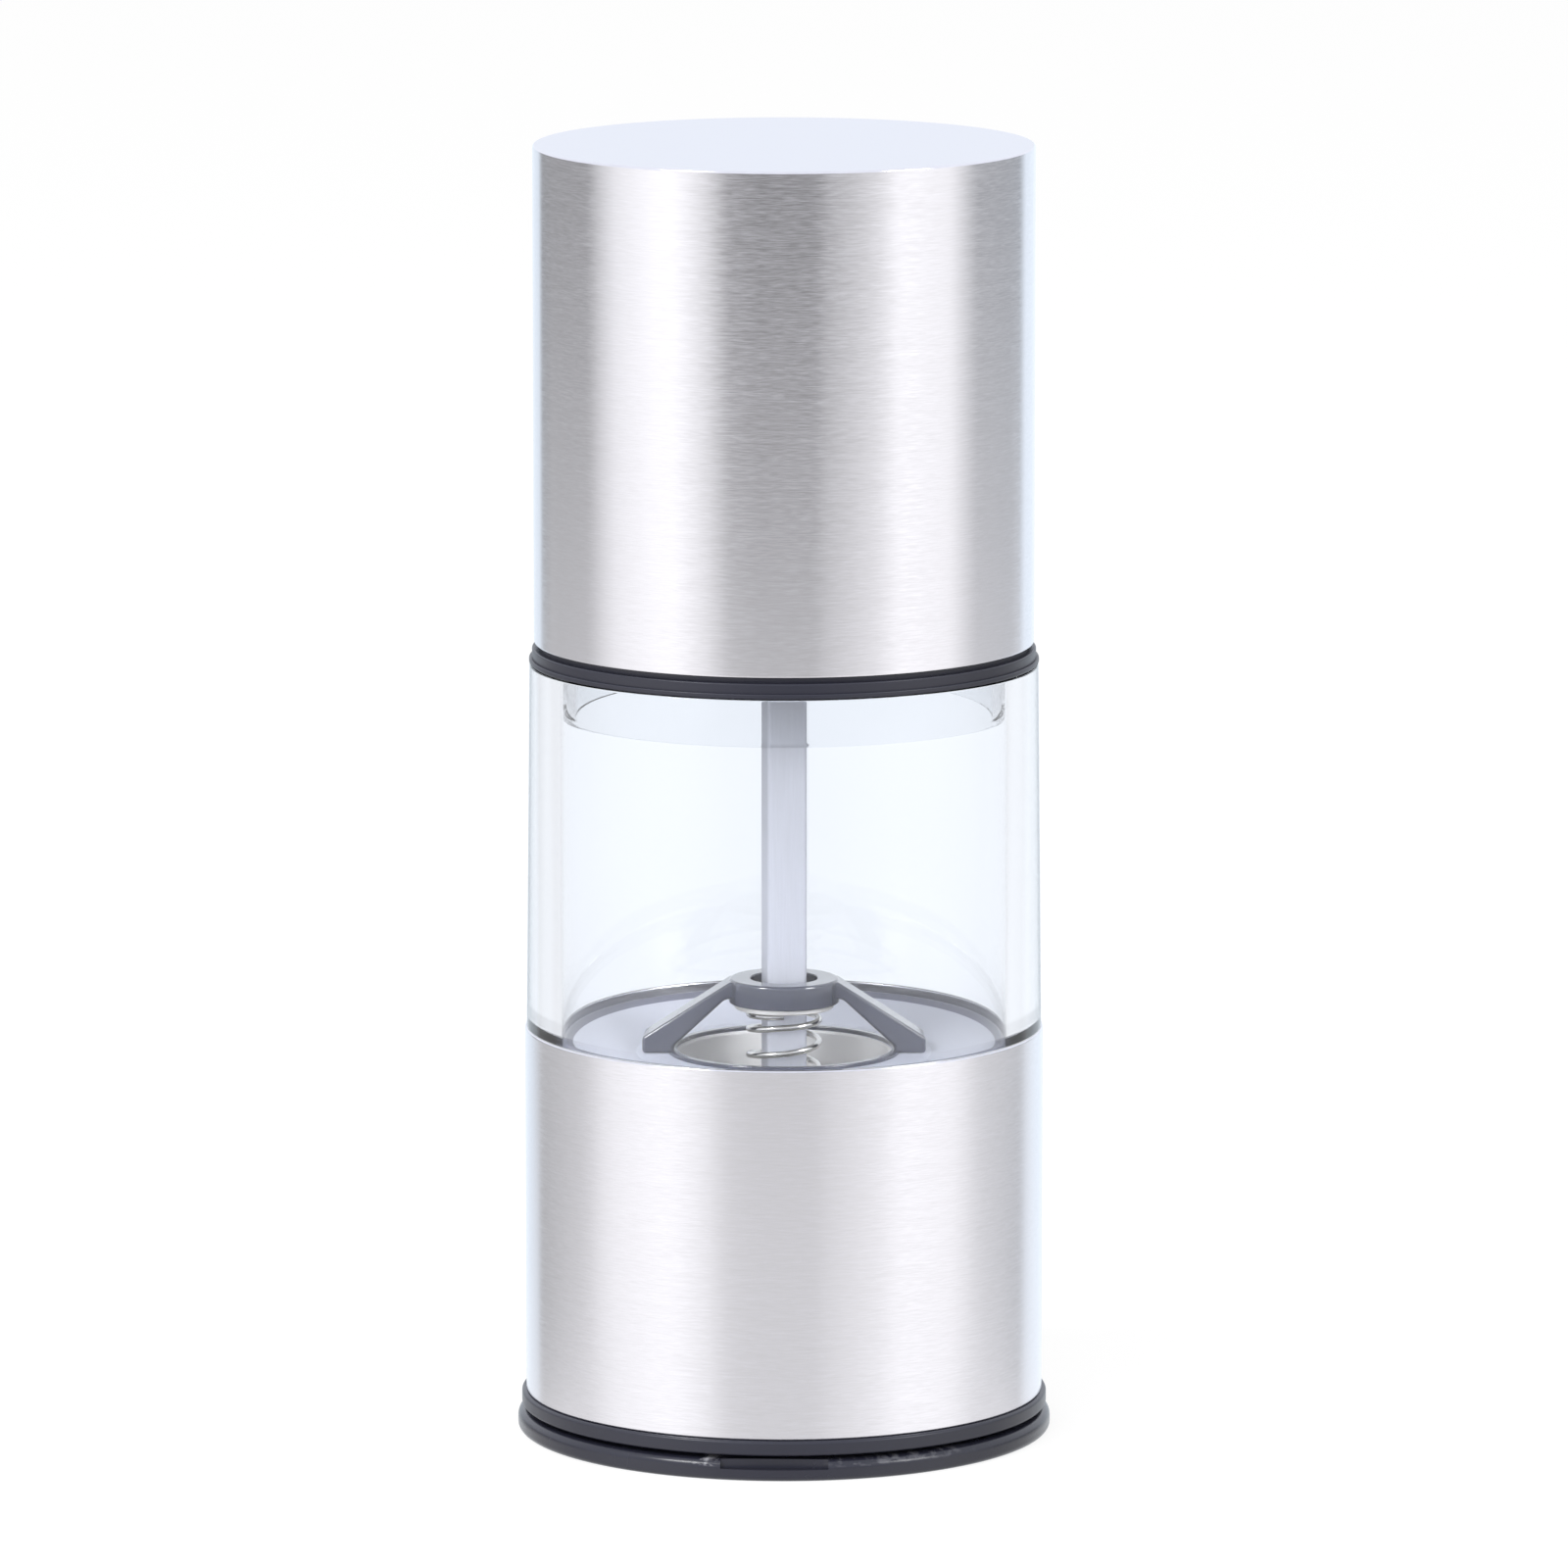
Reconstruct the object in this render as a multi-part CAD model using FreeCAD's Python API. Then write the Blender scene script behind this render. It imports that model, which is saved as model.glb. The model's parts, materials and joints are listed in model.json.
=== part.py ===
import FreeCAD, Part
import math
import os

Vector = FreeCAD.Vector

# Pepper mill with a twist cap, in millimetres.
# It stands on Z = 0 with its axis on Z, and the side seen first faces -Y.

# Heights of what shows outside, from the table up
LID_RIM_HEIGHT = 2.1        # rim of the dust cap
LID_SEAM = 0.4              # shadow line between dust cap and base
BASE_RING_HEIGHT = 1.5      # black ring under the sleeve
SLEEVE_HEIGHT = 37.2        # lower steel sleeve
JAR_SHOW = 36.8             # clear wall between the sleeve and the cap ring
CAP_GAP = 0.1               # air between the jar rim and the turning cap ring
CAP_RING_HEIGHT = 2.0       # black ring under the cap
CAP_SHELL_HEIGHT = 49.9     # steel twist cap

# Outside radius of the sleeve, and the small steps from piece to piece
SLEEVE_RADIUS = 26.0
BASE_STEP = 0.45            # base ring proud of the sleeve
LID_STEP = 0.4              # dust cap proud of the base ring
JAR_STEP = 0.15             # jar foot inside the sleeve
JAR_DRAFT = 0.4             # jar foot wider than the jar rim
LIP_STEP = 0.05             # lip of the cap ring proud of the jar rim
BAND_STEP = 0.3             # band of the cap ring inside its lip
SHELL_STEP = 0.2            # steel cap inside the band

# Clearances
FIT = 0.1                   # pieces assembled into each other
SLIDE = 0.1                 # each side of the square shaft in its square holes
RUN = 0.05                  # faces that turn past each other
PLUG_CLEARANCE = 0.25       # cap plug in the jar mouth
LID_CLEARANCE = 0.15        # dust cap plug in the outlet
HUB_CLEARANCE = 0.2         # shaft corners in the bridge hub and the washers
COIL_CLEARANCE = 0.52       # shaft corners inside the spring
THREAD_CLEARANCE = 0.05     # nut on the threaded end

# Steel shells
SHEET = 0.5
SHELL_EDGE = 0.9            # rounding of the cap's top edge

# Cap ring and cap liner
LIP_HEIGHT = 0.5
CAP_GROOVE = 0.5            # shadow line under the steel cap
RING_SPIGOT = 6.0           # ring wall inside the steel cap
RING_WALL = 1.2
RING_LEDGE = 1.3            # ledge that the liner rests on
LINER_WALL = 1.4
LINER_DISC = 1.6
PLUG_DEPTH = 5.1            # cap plug below the jar rim
PLUG_WALL = 1.2
SOCKET_WALL = 3.0           # around the corners of the square hole
SOCKET_SPARE = 2.0          # socket above the shaft end
RIB_COUNT = 6
RIB_THICKNESS = 1.2
RIB_HEIGHT = 18.0

# Leaf that grips the shaft in the socket
GRIP_SHEET = 0.4
GRIP_WIDTH = 3.0
GRIP_HALF_LENGTH = 7.0
GRIP_BOW = 1.2
GRIP_DROP = 12.0            # middle of the leaf below the top of the shaft

# Shaft
SHAFT_SIDE = 4.0
SHAFT_EDGE = 0.35
SHAFT_TURN = 10.0           # degrees about Z at rest
SHAFT_REACH = 26.0          # above the jar rim
SHAFT_TIP = 0.8             # chamfer at the top
THREAD_RELIEF = 0.05        # threaded end inside the flats
THREAD_PROUD = 0.6          # threaded end below the knob
CLIP_SHEET = 0.5
CLIP_GROOVE = 0.3           # depth of its groove under the flats
CLIP_SEAT = 0.3             # clip over the ledge in the hub
CLIP_MOUTH = 3.0

# Jar
JAR_WALL = 3.05
JAR_RIM_EDGE = 0.6
JAR_SPIGOT = 10.0           # jar wall inside the sleeve
SEAL_HEIGHT = 1.0

# Hopper floor
HOLE_RADIUS = 10.6          # throat
LEDGE_DROP = 2.6            # flat ring round the throat, below the sleeve top
DISH_DROP = 1.0             # outer edge of the dish, below the sleeve top
RIM_DROP = 0.45             # rim below the sleeve top
RIM_WALL = 1.1
RIM_TOP = 0.4               # flat top of the rim
FLOOR_WALL = 1.6
THROAT_WALL = 1.4
FLOOR_FLANGE = 1.4          # flange under the jar seal
LEDGE_SPARE = 0.7           # ledge outside the bridge feet

# Bridge
HUB_RISE = 4.75             # hub top above the sleeve top
HUB_HEIGHT = 2.45
HUB_WALL = 2.2              # around the clip recess
CLIP_RECESS = 1.45
ARM_WIDTH = 4.2
FOOT_SETBACK = 0.4          # from the throat to the foot
FOOT_LENGTH = 3.2
TOE_HEIGHT = 1.8
TAB_THICKNESS = 1.3
TAB_WIDTH = 2.6
BARB = 0.5
BARB_HEIGHT = 1.4

# Spring and its washers
WIRE = 0.65
ACTIVE_PITCH_TURNS = 4.25   # open turns between the two closer end turns
END_PITCH = 1.15
WASHER = 0.5
WASHER_MARGIN = 1.15        # washer outside the spring

# Burrs
STATOR_HEIGHT = 13.0
STATOR_WALL = 3.2           # from the throat to the outside of the ring
STATOR_KEY = 1.1
KEY_WIDTH = 3.0
KEY_RISE = 3.0
KEY_COUNT = 3
KEY_TURN = 30.0             # degrees from +X to the first key
COLLAR_WALL = 1.2
COLLAR_HEIGHT = 8.0
SEAT_LEDGE = 1.6            # ledge under the ring
FINE_HEIGHT = 3.4           # fine teeth at the bottom
FINE_FLARE = 1.3            # growth of radius over the fine teeth
FINE_DEPTH = 0.5
FINE_ROTOR_TEETH = 30
FINE_STATOR_TEETH = 36
BURR_GAP = 0.6              # between the fine teeth at the coarsest setting
COARSE_ROTOR_TEETH = 6
COARSE_STATOR_TEETH = 12
COARSE_DEPTH = 0.9
COARSE_TWIST = 40.0
COARSE_STEPS = 2
NOSE_WALL = 0.8             # ceramic around the core at the top
TOP_DROP = 0.4              # rotor top below the top of the ring
CORE_WALL = 1.2
CORE_FLANGE = 1.2
CORE_FLANGE_WALL = 2.1
CORE_KEY = 0.7
CORE_KEY_WIDTH = 1.6
BURR_LIFT = 0.7             # one turn of the knob

# Fineness knob and nut
KNOB_HEIGHT = 5.0
KNOB_BOSS = 2.0
KNOB_WALL = 2.75            # around the corners of the nut
BOSS_WALL = 2.4
SCALLOPS = 10
SCALLOP_RADIUS = 1.6
SCALLOP_BITE = 0.8
NUT_WALL = 1.55
NUT_HEIGHT = 3.2

# Base housing, screws and dust cap
BASE_WALL = 2.8             # around the outlet
SKIRT_WALL = 1.6
OUTLET_HEIGHT = 11.5        # from the base ring's underside to the web
WEB = 1.6
SCREW_COUNT = 3
SCREW_TURN = 90.0           # degrees from +X to the first screw
SCREW_RADIUS = 1.25
SCREW_LENGTH = 10.0
SCREW_HEAD = 2.2
SCREW_HEAD_HEIGHT = 1.6
SCREW_INSET = 0.7           # from the heads to the outlet wall
POST_WALL = 0.9
LID_PLUG = 4.0              # plug above the base ring's underside
LID_PLUG_WALL = 1.45
LID_FLOOR = 1.2
FOOT_RECESS = 0.6
FOOT_RING_WIDTH = 5.0
LID_BEVEL = 0.7
NOTCH_WIDTH = 10.7
NOTCH_DEPTH = 1.2
NOTCH_HEIGHT = 0.9
NOTCH_TURN = -2.1           # degrees from the front
EDGE = 0.3                  # small rounding on moulded edges
HALF_OVERLAP = 0.3          # how far a rib or boss runs into what carries it
CORNER_SHARE = 0.45         # most of an edge that the rounding at one end may take
POINTS_PER_ARC = 4          # where the gap between spring turns is measured

# Levels
base_low = LID_RIM_HEIGHT + LID_SEAM
base_high = base_low + BASE_RING_HEIGHT
sleeve_top = base_high + SLEEVE_HEIGHT
jar_top = sleeve_top + JAR_SHOW
ring_low = jar_top + CAP_GAP
ring_high = ring_low + CAP_RING_HEIGHT
cap_top = ring_high + CAP_SHELL_HEIGHT
ceiling = cap_top - SHEET
spigot_top = ring_high + RING_SPIGOT
disc_low = ring_low + RING_LEDGE
disc_high = disc_low + LINER_DISC
shaft_top = jar_top + SHAFT_REACH
grip_level = shaft_top - GRIP_DROP
jar_low = sleeve_top - JAR_SPIGOT
flange_high = jar_low - SEAL_HEIGHT
flange_low = flange_high - FLOOR_FLANGE
floor_level = sleeve_top - LEDGE_DROP
hub_high = sleeve_top + HUB_RISE
hub_low = hub_high - HUB_HEIGHT
clip_level = hub_high - CLIP_RECESS
web_low = base_low + OUTLET_HEIGHT
web_high = web_low + WEB
stator_top = web_high + STATOR_HEIGHT
rotor_low = web_high
rotor_high = stator_top - TOP_DROP
fine_high = rotor_low + FINE_HEIGHT
core_low = rotor_low - CORE_FLANGE
seat_high = rotor_high + WASHER
thrust_high = hub_low - RUN
thrust_low = thrust_high - WASHER
knob_high = core_low
boss_low = knob_high - KNOB_BOSS
knob_low = boss_low - KNOB_HEIGHT
square_low = knob_high + BURR_LIFT + SLIDE
thread_low = knob_low - THREAD_PROUD

# Radii
base_radius = SLEEVE_RADIUS + BASE_STEP
lid_radius = base_radius + LID_STEP
jar_foot = SLEEVE_RADIUS - JAR_STEP
jar_rim = jar_foot - JAR_DRAFT
jar_bore = jar_rim - JAR_WALL
lip_radius = jar_rim + LIP_STEP
band_radius = lip_radius - BAND_STEP
shell_radius = band_radius - SHELL_STEP
shell_inside = shell_radius - SHEET
sleeve_inside = SLEEVE_RADIUS - SHEET
spigot_out = shell_inside - FIT
spigot_in = spigot_out - RING_WALL
plug_out = jar_bore - PLUG_CLEARANCE
plug_in = plug_out - PLUG_WALL
shaft_corner = SHAFT_SIDE / math.sqrt(2) - SHAFT_EDGE * (math.sqrt(2) - 1)
socket_radius = shaft_corner + SOCKET_WALL
thread_radius = SHAFT_SIDE / 2 - THREAD_RELIEF
groove_radius = SHAFT_SIDE / 2 - CLIP_GROOVE
hub_bore = shaft_corner + HUB_CLEARANCE
clip_radius = hub_bore + CLIP_SEAT
recess_radius = clip_radius + HUB_CLEARANCE
hub_radius = recess_radius + HUB_WALL
coil_radius = shaft_corner + COIL_CLEARANCE + WIRE / 2
washer_radius = coil_radius + WIRE / 2 + WASHER_MARGIN
floor_plug = jar_bore - FIT
dish_radius = floor_plug - RIM_WALL
throat_out = HOLE_RADIUS + THROAT_WALL
foot_in = HOLE_RADIUS + FOOT_SETBACK
foot_out = foot_in + FOOT_LENGTH
tab_out = foot_out - EDGE
tab_in = tab_out - TAB_THICKNESS
ledge_radius = foot_out + LEDGE_SPARE
stator_radius = HOLE_RADIUS + STATOR_WALL
collar_in = stator_radius + FIT
collar_out = collar_in + COLLAR_WALL
core_radius = shaft_corner + CORE_WALL
core_flange_radius = core_radius + CORE_FLANGE_WALL
outlet_radius = sleeve_inside - FIT - BASE_WALL
screw_circle = outlet_radius - SCREW_INSET - SCREW_HEAD
nut_flats = 2 * (thread_radius + NUT_WALL)
knob_radius = nut_flats / math.sqrt(3) + KNOB_WALL
lid_plug_out = outlet_radius - LID_CLEARANCE
lid_plug_in = lid_plug_out - LID_PLUG_WALL


def upright(across, up):
    """Point of an outline drawn in the XZ plane."""
    return Vector(across, 0, up)


def level(across, along):
    """Point of an outline drawn in the XY plane."""
    return Vector(across, along, 0)


def outline(corners, plane):
    """Closed face through (a, b) or (a, b, rounding) corners, with an arc at each rounded corner."""
    points = [plane(corner[0], corner[1]) for corner in corners]
    roundings = [corner[2] if len(corner) > 2 else 0.0 for corner in corners]
    ends = []
    for index, point in enumerate(points):
        back = points[index - 1] - point
        ahead = points[(index + 1) % len(points)] - point
        half = back.getAngle(ahead) / 2
        reach = min(roundings[index] / math.tan(half), CORNER_SHARE * min(back.Length, ahead.Length))
        back.normalize()
        ahead.normalize()
        start = point + back * reach
        stop = point + ahead * reach
        middle = None
        if reach > 0:
            inward = (back + ahead).normalize()
            radius = reach * math.tan(half)
            middle = point + inward * (radius / math.sin(half) - radius)
        ends.append((start, middle, stop))
    edges = []
    for index, (start, middle, stop) in enumerate(ends):
        if middle:
            edges.append(Part.Arc(start, middle, stop).toShape())
        edges.append(Part.makeLine(stop, ends[(index + 1) % len(ends)][0]))
    return Part.Face(Part.Wire(edges))


def turned(corners):
    """Solid turned about Z from (radius, height, rounding) corners."""
    return outline(corners, upright).revolve(Vector(0, 0, 0), Vector(0, 0, 1), 360)


def column(corners, low, high):
    """Upright prism on an outline in the XY plane."""
    face = outline(corners, level)
    face.translate(Vector(0, 0, low))
    return face.extrude(Vector(0, 0, high - low))


def rod(radius, low, high):
    """Plain cylinder on the axis."""
    return Part.makeCylinder(radius, high - low, Vector(0, 0, low))


def tube(outside, inside, low, high, rounding=0.0):
    """Ring of rectangular section with its four edges rounded alike."""
    return turned([
        (inside, low, rounding),
        (outside, low, rounding),
        (outside, high, rounding),
        (inside, high, rounding),
    ])


def block(x_low, x_high, width, low, high):
    """Box across the XZ plane, as wide along Y on both sides."""
    return Part.makeBox(x_high - x_low, width, high - low, Vector(x_low, -width / 2, low))


def around(shape, degrees):
    """Copy turned about Z."""
    copy = shape.copy()
    copy.rotate(Vector(0, 0, 0), Vector(0, 0, 1), degrees)
    return copy


def ring_of(shape, count, first=0.0):
    """Copies spread evenly about Z."""
    return [around(shape, first + index * 360 / count) for index in range(count)]


def square_bar(side, low, high, rounding):
    """Square bar on the axis, turned as the shaft is."""
    half = side / 2
    corners = [(x * half, y * half, rounding) for x, y in ((-1, -1), (1, -1), (1, 1), (-1, 1))]
    return around(column(corners, low, high), SHAFT_TURN)


def hexagon(flats, low, high):
    """Hexagonal bar on the axis."""
    radius = flats / math.sqrt(3)
    angles = [math.radians(60 * index) for index in range(6)]
    return column([(radius * math.cos(a), radius * math.sin(a)) for a in angles], low, high)


def star(tip, root, teeth, turn, height):
    """Closed zigzag between a tip and a root radius."""
    points = []
    for index in range(2 * teeth):
        radius = root if index % 2 else tip
        angle = math.radians(turn + index * 180 / teeth)
        points.append(Vector(radius * math.cos(angle), radius * math.sin(angle), height))
    return Part.makePolygon(points + points[:1])


def toothed_cone(low, high, tip_low, tip_high, depth, teeth, twist=0.0, steps=1):
    """Cone of helical teeth; a positive depth cuts the roots inwards, a negative one outwards."""
    wires = []
    for step in range(steps + 1):
        share = step / steps
        tip = tip_low + share * (tip_high - tip_low)
        wires.append(star(tip, tip - depth, teeth, share * twist, low + share * (high - low)))
    return Part.makeLoft(wires, True, True)


def whole(shape):
    """The single solid of a finished piece, with its split faces joined again."""
    solids = shape.removeSplitter().Solids
    if len(solids) != 1:
        raise ValueError("a piece came apart into %d solids" % len(solids))
    return solids[0]


def cap_shell():
    """Deep-drawn steel cup of the twist cap."""
    return turned([
        (0, cap_top),
        (shell_radius, cap_top, SHELL_EDGE),
        (shell_radius, ring_high, SHEET / 3),
        (shell_inside, ring_high),
        (shell_inside, ceiling, SHELL_EDGE - SHEET),
        (0, ceiling),
    ])


def cap_ring():
    """Black ring: lip and band outside, spigot inside the steel cup, ledge for the liner."""
    ledge_in = plug_out + FIT
    return turned([
        (ledge_in, ring_low),
        (lip_radius, ring_low, EDGE / 2),
        (lip_radius, ring_low + LIP_HEIGHT, EDGE / 2),
        (band_radius, ring_low + LIP_HEIGHT),
        (band_radius, ring_high - CAP_GROOVE, EDGE / 2),
        (spigot_out, ring_high - CAP_GROOVE),
        (spigot_out, spigot_top, EDGE),
        (spigot_in, spigot_top),
        (spigot_in, disc_low),
        (ledge_in, disc_low),
    ])


def cap_liner():
    """Moulding inside the cap: jar plug, disc, ribs, square socket and the wall that backs the steel."""
    low_out = spigot_in - FIT
    inside = low_out - LINER_WALL
    step_level = spigot_top + FIT
    liner_top = ceiling - FIT
    socket_top = shaft_top + SOCKET_SPARE
    plug_low = jar_top - PLUG_DEPTH
    body = turned([
        (plug_in, plug_low, EDGE),
        (plug_out, plug_low, 2 * EDGE),
        (plug_out, disc_low),
        (low_out, disc_low),
        (low_out, step_level),
        (spigot_out, step_level),
        (spigot_out, liner_top, SHELL_EDGE),
        (inside, liner_top),
        (inside, disc_high, 2 * EDGE),
        (socket_radius, disc_high, 2 * EDGE),
        (socket_radius, socket_top, EDGE),
        (0, socket_top),
        (0, disc_low),
        (plug_in, disc_low, 2 * EDGE),
    ])
    rib = block(socket_radius - HALF_OVERLAP, inside + HALF_OVERLAP, RIB_THICKNESS,
                disc_high - HALF_OVERLAP, disc_high + RIB_HEIGHT)
    body = body.fuse(ring_of(rib, RIB_COUNT, SHAFT_TURN))
    body = body.cut(square_bar(SHAFT_SIDE + 2 * SLIDE, disc_low, socket_top, SHAFT_EDGE))
    depth = SHAFT_SIDE / 2 + RUN + GRIP_BOW + GRIP_SHEET + FIT
    half_height = GRIP_HALF_LENGTH + FIT
    pocket = Part.makeBox(GRIP_WIDTH + 2 * FIT, depth, 2 * half_height,
                          Vector(-GRIP_WIDTH / 2 - FIT, -depth, grip_level - half_height))
    return whole(body.cut(around(pocket, SHAFT_TURN)))


def shaft_grip():
    """Bowed leaf whose middle lies on one flat of the shaft."""
    near = -SHAFT_SIDE / 2 - RUN
    radius = (GRIP_HALF_LENGTH ** 2 + GRIP_BOW ** 2) / (2 * GRIP_BOW)
    edges = []
    tips = []
    for arc_radius in (radius, radius - GRIP_SHEET):
        arc = []
        for side in (-1, 0, 1):
            angle = side * math.asin(GRIP_HALF_LENGTH / radius)
            arc.append(Vector(0, near - radius + arc_radius * math.cos(angle),
                              grip_level + arc_radius * math.sin(angle)))
        edges.append(Part.Arc(arc[0], arc[1], arc[2]).toShape())
        tips.append((arc[0], arc[2]))
    edges.insert(1, Part.makeLine(tips[0][1], tips[1][1]))
    edges.append(Part.makeLine(tips[1][0], tips[0][0]))
    leaf = Part.Face(Part.Wire(Part.__sortEdges__(edges))).extrude(Vector(GRIP_WIDTH, 0, 0))
    leaf.translate(Vector(-GRIP_WIDTH / 2, 0, 0))
    return around(leaf, SHAFT_TURN)


def drive_shaft():
    """Square bar with a chamfered top, a clip groove and a round threaded end."""
    bar = square_bar(SHAFT_SIDE, square_low, shaft_top, SHAFT_EDGE)
    point = turned([
        (0, square_low),
        (shaft_corner, square_low),
        (shaft_corner, shaft_top - SHAFT_TIP),
        (shaft_corner - SHAFT_TIP, shaft_top),
        (0, shaft_top),
    ])
    groove = tube(2 * shaft_corner, groove_radius, clip_level, clip_level + CLIP_SHEET + 2 * RUN)
    thread = turned([
        (0, thread_low),
        (thread_radius, thread_low, EDGE),
        (thread_radius, square_low),
        (0, square_low),
    ])
    return whole(bar.common(point).cut(groove).fuse(thread))


def shaft_clip():
    """Open ring in the shaft groove, lying on the ledge in the hub."""
    low = clip_level + RUN
    ring = tube(clip_radius, groove_radius + RUN, low, low + CLIP_SHEET)
    mouth = block(0, 2 * clip_radius, CLIP_MOUTH, low, low + CLIP_SHEET)
    return whole(ring.cut(around(mouth, SHAFT_TURN)))


def thrust_washer():
    """Washer between the hub and the spring."""
    return tube(washer_radius, hub_bore, thrust_low, thrust_high, WASHER / 5)


def spring_seat():
    """Washer between the spring and the rotor."""
    return tube(washer_radius, hub_bore, rotor_high, seat_high, WASHER / 5)


def spring_line():
    """Points and directions every quarter turn along the spring's centre line, from the bottom."""
    low = seat_high + RUN + WIRE / 2
    high = thrust_low - RUN - WIRE / 2
    pitch = (high - low - 2 * END_PITCH) / ACTIVE_PITCH_TURNS
    quarters = round(4 * (ACTIVE_PITCH_TURNS + 2))

    def height(turn):
        opened = min(max(turn - 1, 0), ACTIVE_PITCH_TURNS)
        return low + END_PITCH * (turn - opened) + pitch * opened

    places = []
    for quarter in range(quarters + 1):
        turn = quarter / 4
        angle = 2 * math.pi * (turn - quarters / 4) - math.pi / 2
        before = max(turn - 0.25, 0)
        after = min(turn + 0.25, quarters / 4)
        rise = (height(after) - height(before)) / (2 * math.pi * (after - before))
        point = Vector(coil_radius * math.cos(angle), coil_radius * math.sin(angle), height(turn))
        heading = Vector(-coil_radius * math.sin(angle), coil_radius * math.cos(angle), rise)
        places.append((point, heading.normalize()))
    return places


def arc_between(start, corner, stop):
    """Arc from start to stop that is tangent to the lines through the corner point."""
    middle = (start + stop) * 0.5
    half_chord = (stop - start).Length / 2
    rise = corner - middle
    quarter = math.atan2(rise.Length, half_chord) / 2
    return Part.Arc(start, middle + rise.normalize() * (half_chord * math.tan(quarter)), stop)


def biarc(place, next_place):
    """Two arcs that leave one place and reach the next along their headings."""
    (start, heading), (stop, next_heading) = place, next_place
    chord = stop - start
    both = heading + next_heading
    a = both.dot(both) - 4
    b = -2 * chord.dot(both)
    c = chord.dot(chord)
    reach = (-b - math.sqrt(b * b - 4 * a * c)) / (2 * a)
    if reach < 0:
        reach = (-b + math.sqrt(b * b - 4 * a * c)) / (2 * a)
    first = start + heading * reach
    second = stop - next_heading * reach
    joint = (first + second) * 0.5
    return [arc_between(start, first, joint), arc_between(joint, second, stop)]


def burr_spring():
    """One unbroken wire, wound with a closer turn at each end."""
    places = spring_line()
    arcs = []
    for index in range(len(places) - 1):
        arcs.extend(biarc(places[index], places[index + 1]))
    path = Part.Wire([arc.toShape() for arc in arcs])
    start, heading = places[0]
    section = Part.Wire(Part.makeCircle(WIRE / 2, start, heading))
    print("Least gap between spring turns: %.2f mm" % (turn_gap(arcs) - WIRE))
    return path.makePipeShell([section], True, False)


def turn_gap(arcs):
    """Least distance between points of the centre line that lie half a turn or more apart."""
    points = []
    for arc in arcs:
        step = (arc.LastParameter - arc.FirstParameter) / POINTS_PER_ARC
        points.extend(arc.value(arc.FirstParameter + point * step) for point in range(POINTS_PER_ARC))
    half_turn = 2 * 2 * POINTS_PER_ARC
    gaps = []
    for index, point in enumerate(points):
        gaps.extend(point.distanceToPoint(other) for other in points[index + half_turn:])
    return min(gaps)


def jar():
    """Clear jar: drafted outside, straight bore, and a spigot that goes down into the sleeve."""
    spigot = sleeve_inside - FIT
    return turned([
        (jar_bore, jar_top, JAR_RIM_EDGE),
        (jar_rim, jar_top, JAR_RIM_EDGE),
        (jar_foot, sleeve_top),
        (spigot, sleeve_top),
        (spigot, jar_low, EDGE),
        (jar_bore, jar_low),
    ])


def jar_seal():
    """Flat ring under the end of the jar."""
    return tube(sleeve_inside - 2 * FIT, jar_bore + FIT, flange_high, jar_low)


def lower_sleeve():
    """Steel tube between the jar's shoulder and the base ring."""
    return turned([
        (sleeve_inside, base_high),
        (SLEEVE_RADIUS, base_high, SHEET / 3),
        (SLEEVE_RADIUS, sleeve_top, SHEET / 3),
        (sleeve_inside, sleeve_top),
    ])


def screw_hole(radius, low, high):
    """Hole for one screw, on the X side."""
    return Part.makeCylinder(radius, high - low, Vector(screw_circle, 0, low))


def screw_places(shape):
    """One shape for each screw."""
    return ring_of(shape, SCREW_COUNT, SCREW_TURN)


def hopper_floor():
    """Dish with a throat, a bevelled rim inside the jar, a flange under it and posts for the screws."""
    inner_wall = dish_radius - FLOOR_WALL / 2
    body = turned([
        (HOLE_RADIUS, floor_level, EDGE),
        (ledge_radius, floor_level),
        (dish_radius, sleeve_top - DISH_DROP),
        (floor_plug - RIM_TOP, sleeve_top - RIM_DROP),
        (floor_plug, sleeve_top - RIM_DROP, EDGE / 2),
        (floor_plug, flange_high),
        (sleeve_inside - FIT, flange_high),
        (sleeve_inside - FIT, flange_low),
        (inner_wall, flange_low),
        (inner_wall, sleeve_top - DISH_DROP - FLOOR_WALL),
        (ledge_radius, floor_level - FLOOR_WALL),
        (throat_out, floor_level - FLOOR_WALL, 2 * EDGE),
        (throat_out, stator_top),
        (HOLE_RADIUS, stator_top),
    ])
    post = screw_hole(SCREW_RADIUS + POST_WALL, web_high, floor_level - HALF_OVERLAP)
    body = body.fuse(screw_places(post))
    pilot = screw_hole(SCREW_RADIUS + THREAD_CLEARANCE, web_high, web_low + SCREW_LENGTH + FIT)
    body = body.cut(screw_places(pilot))
    slot = block(tab_in - FIT, tab_out + FIT, TAB_WIDTH + 2 * FIT, floor_level - FLOOR_WALL, floor_level)
    return whole(body.cut(ring_of(slot, 2)))


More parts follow.
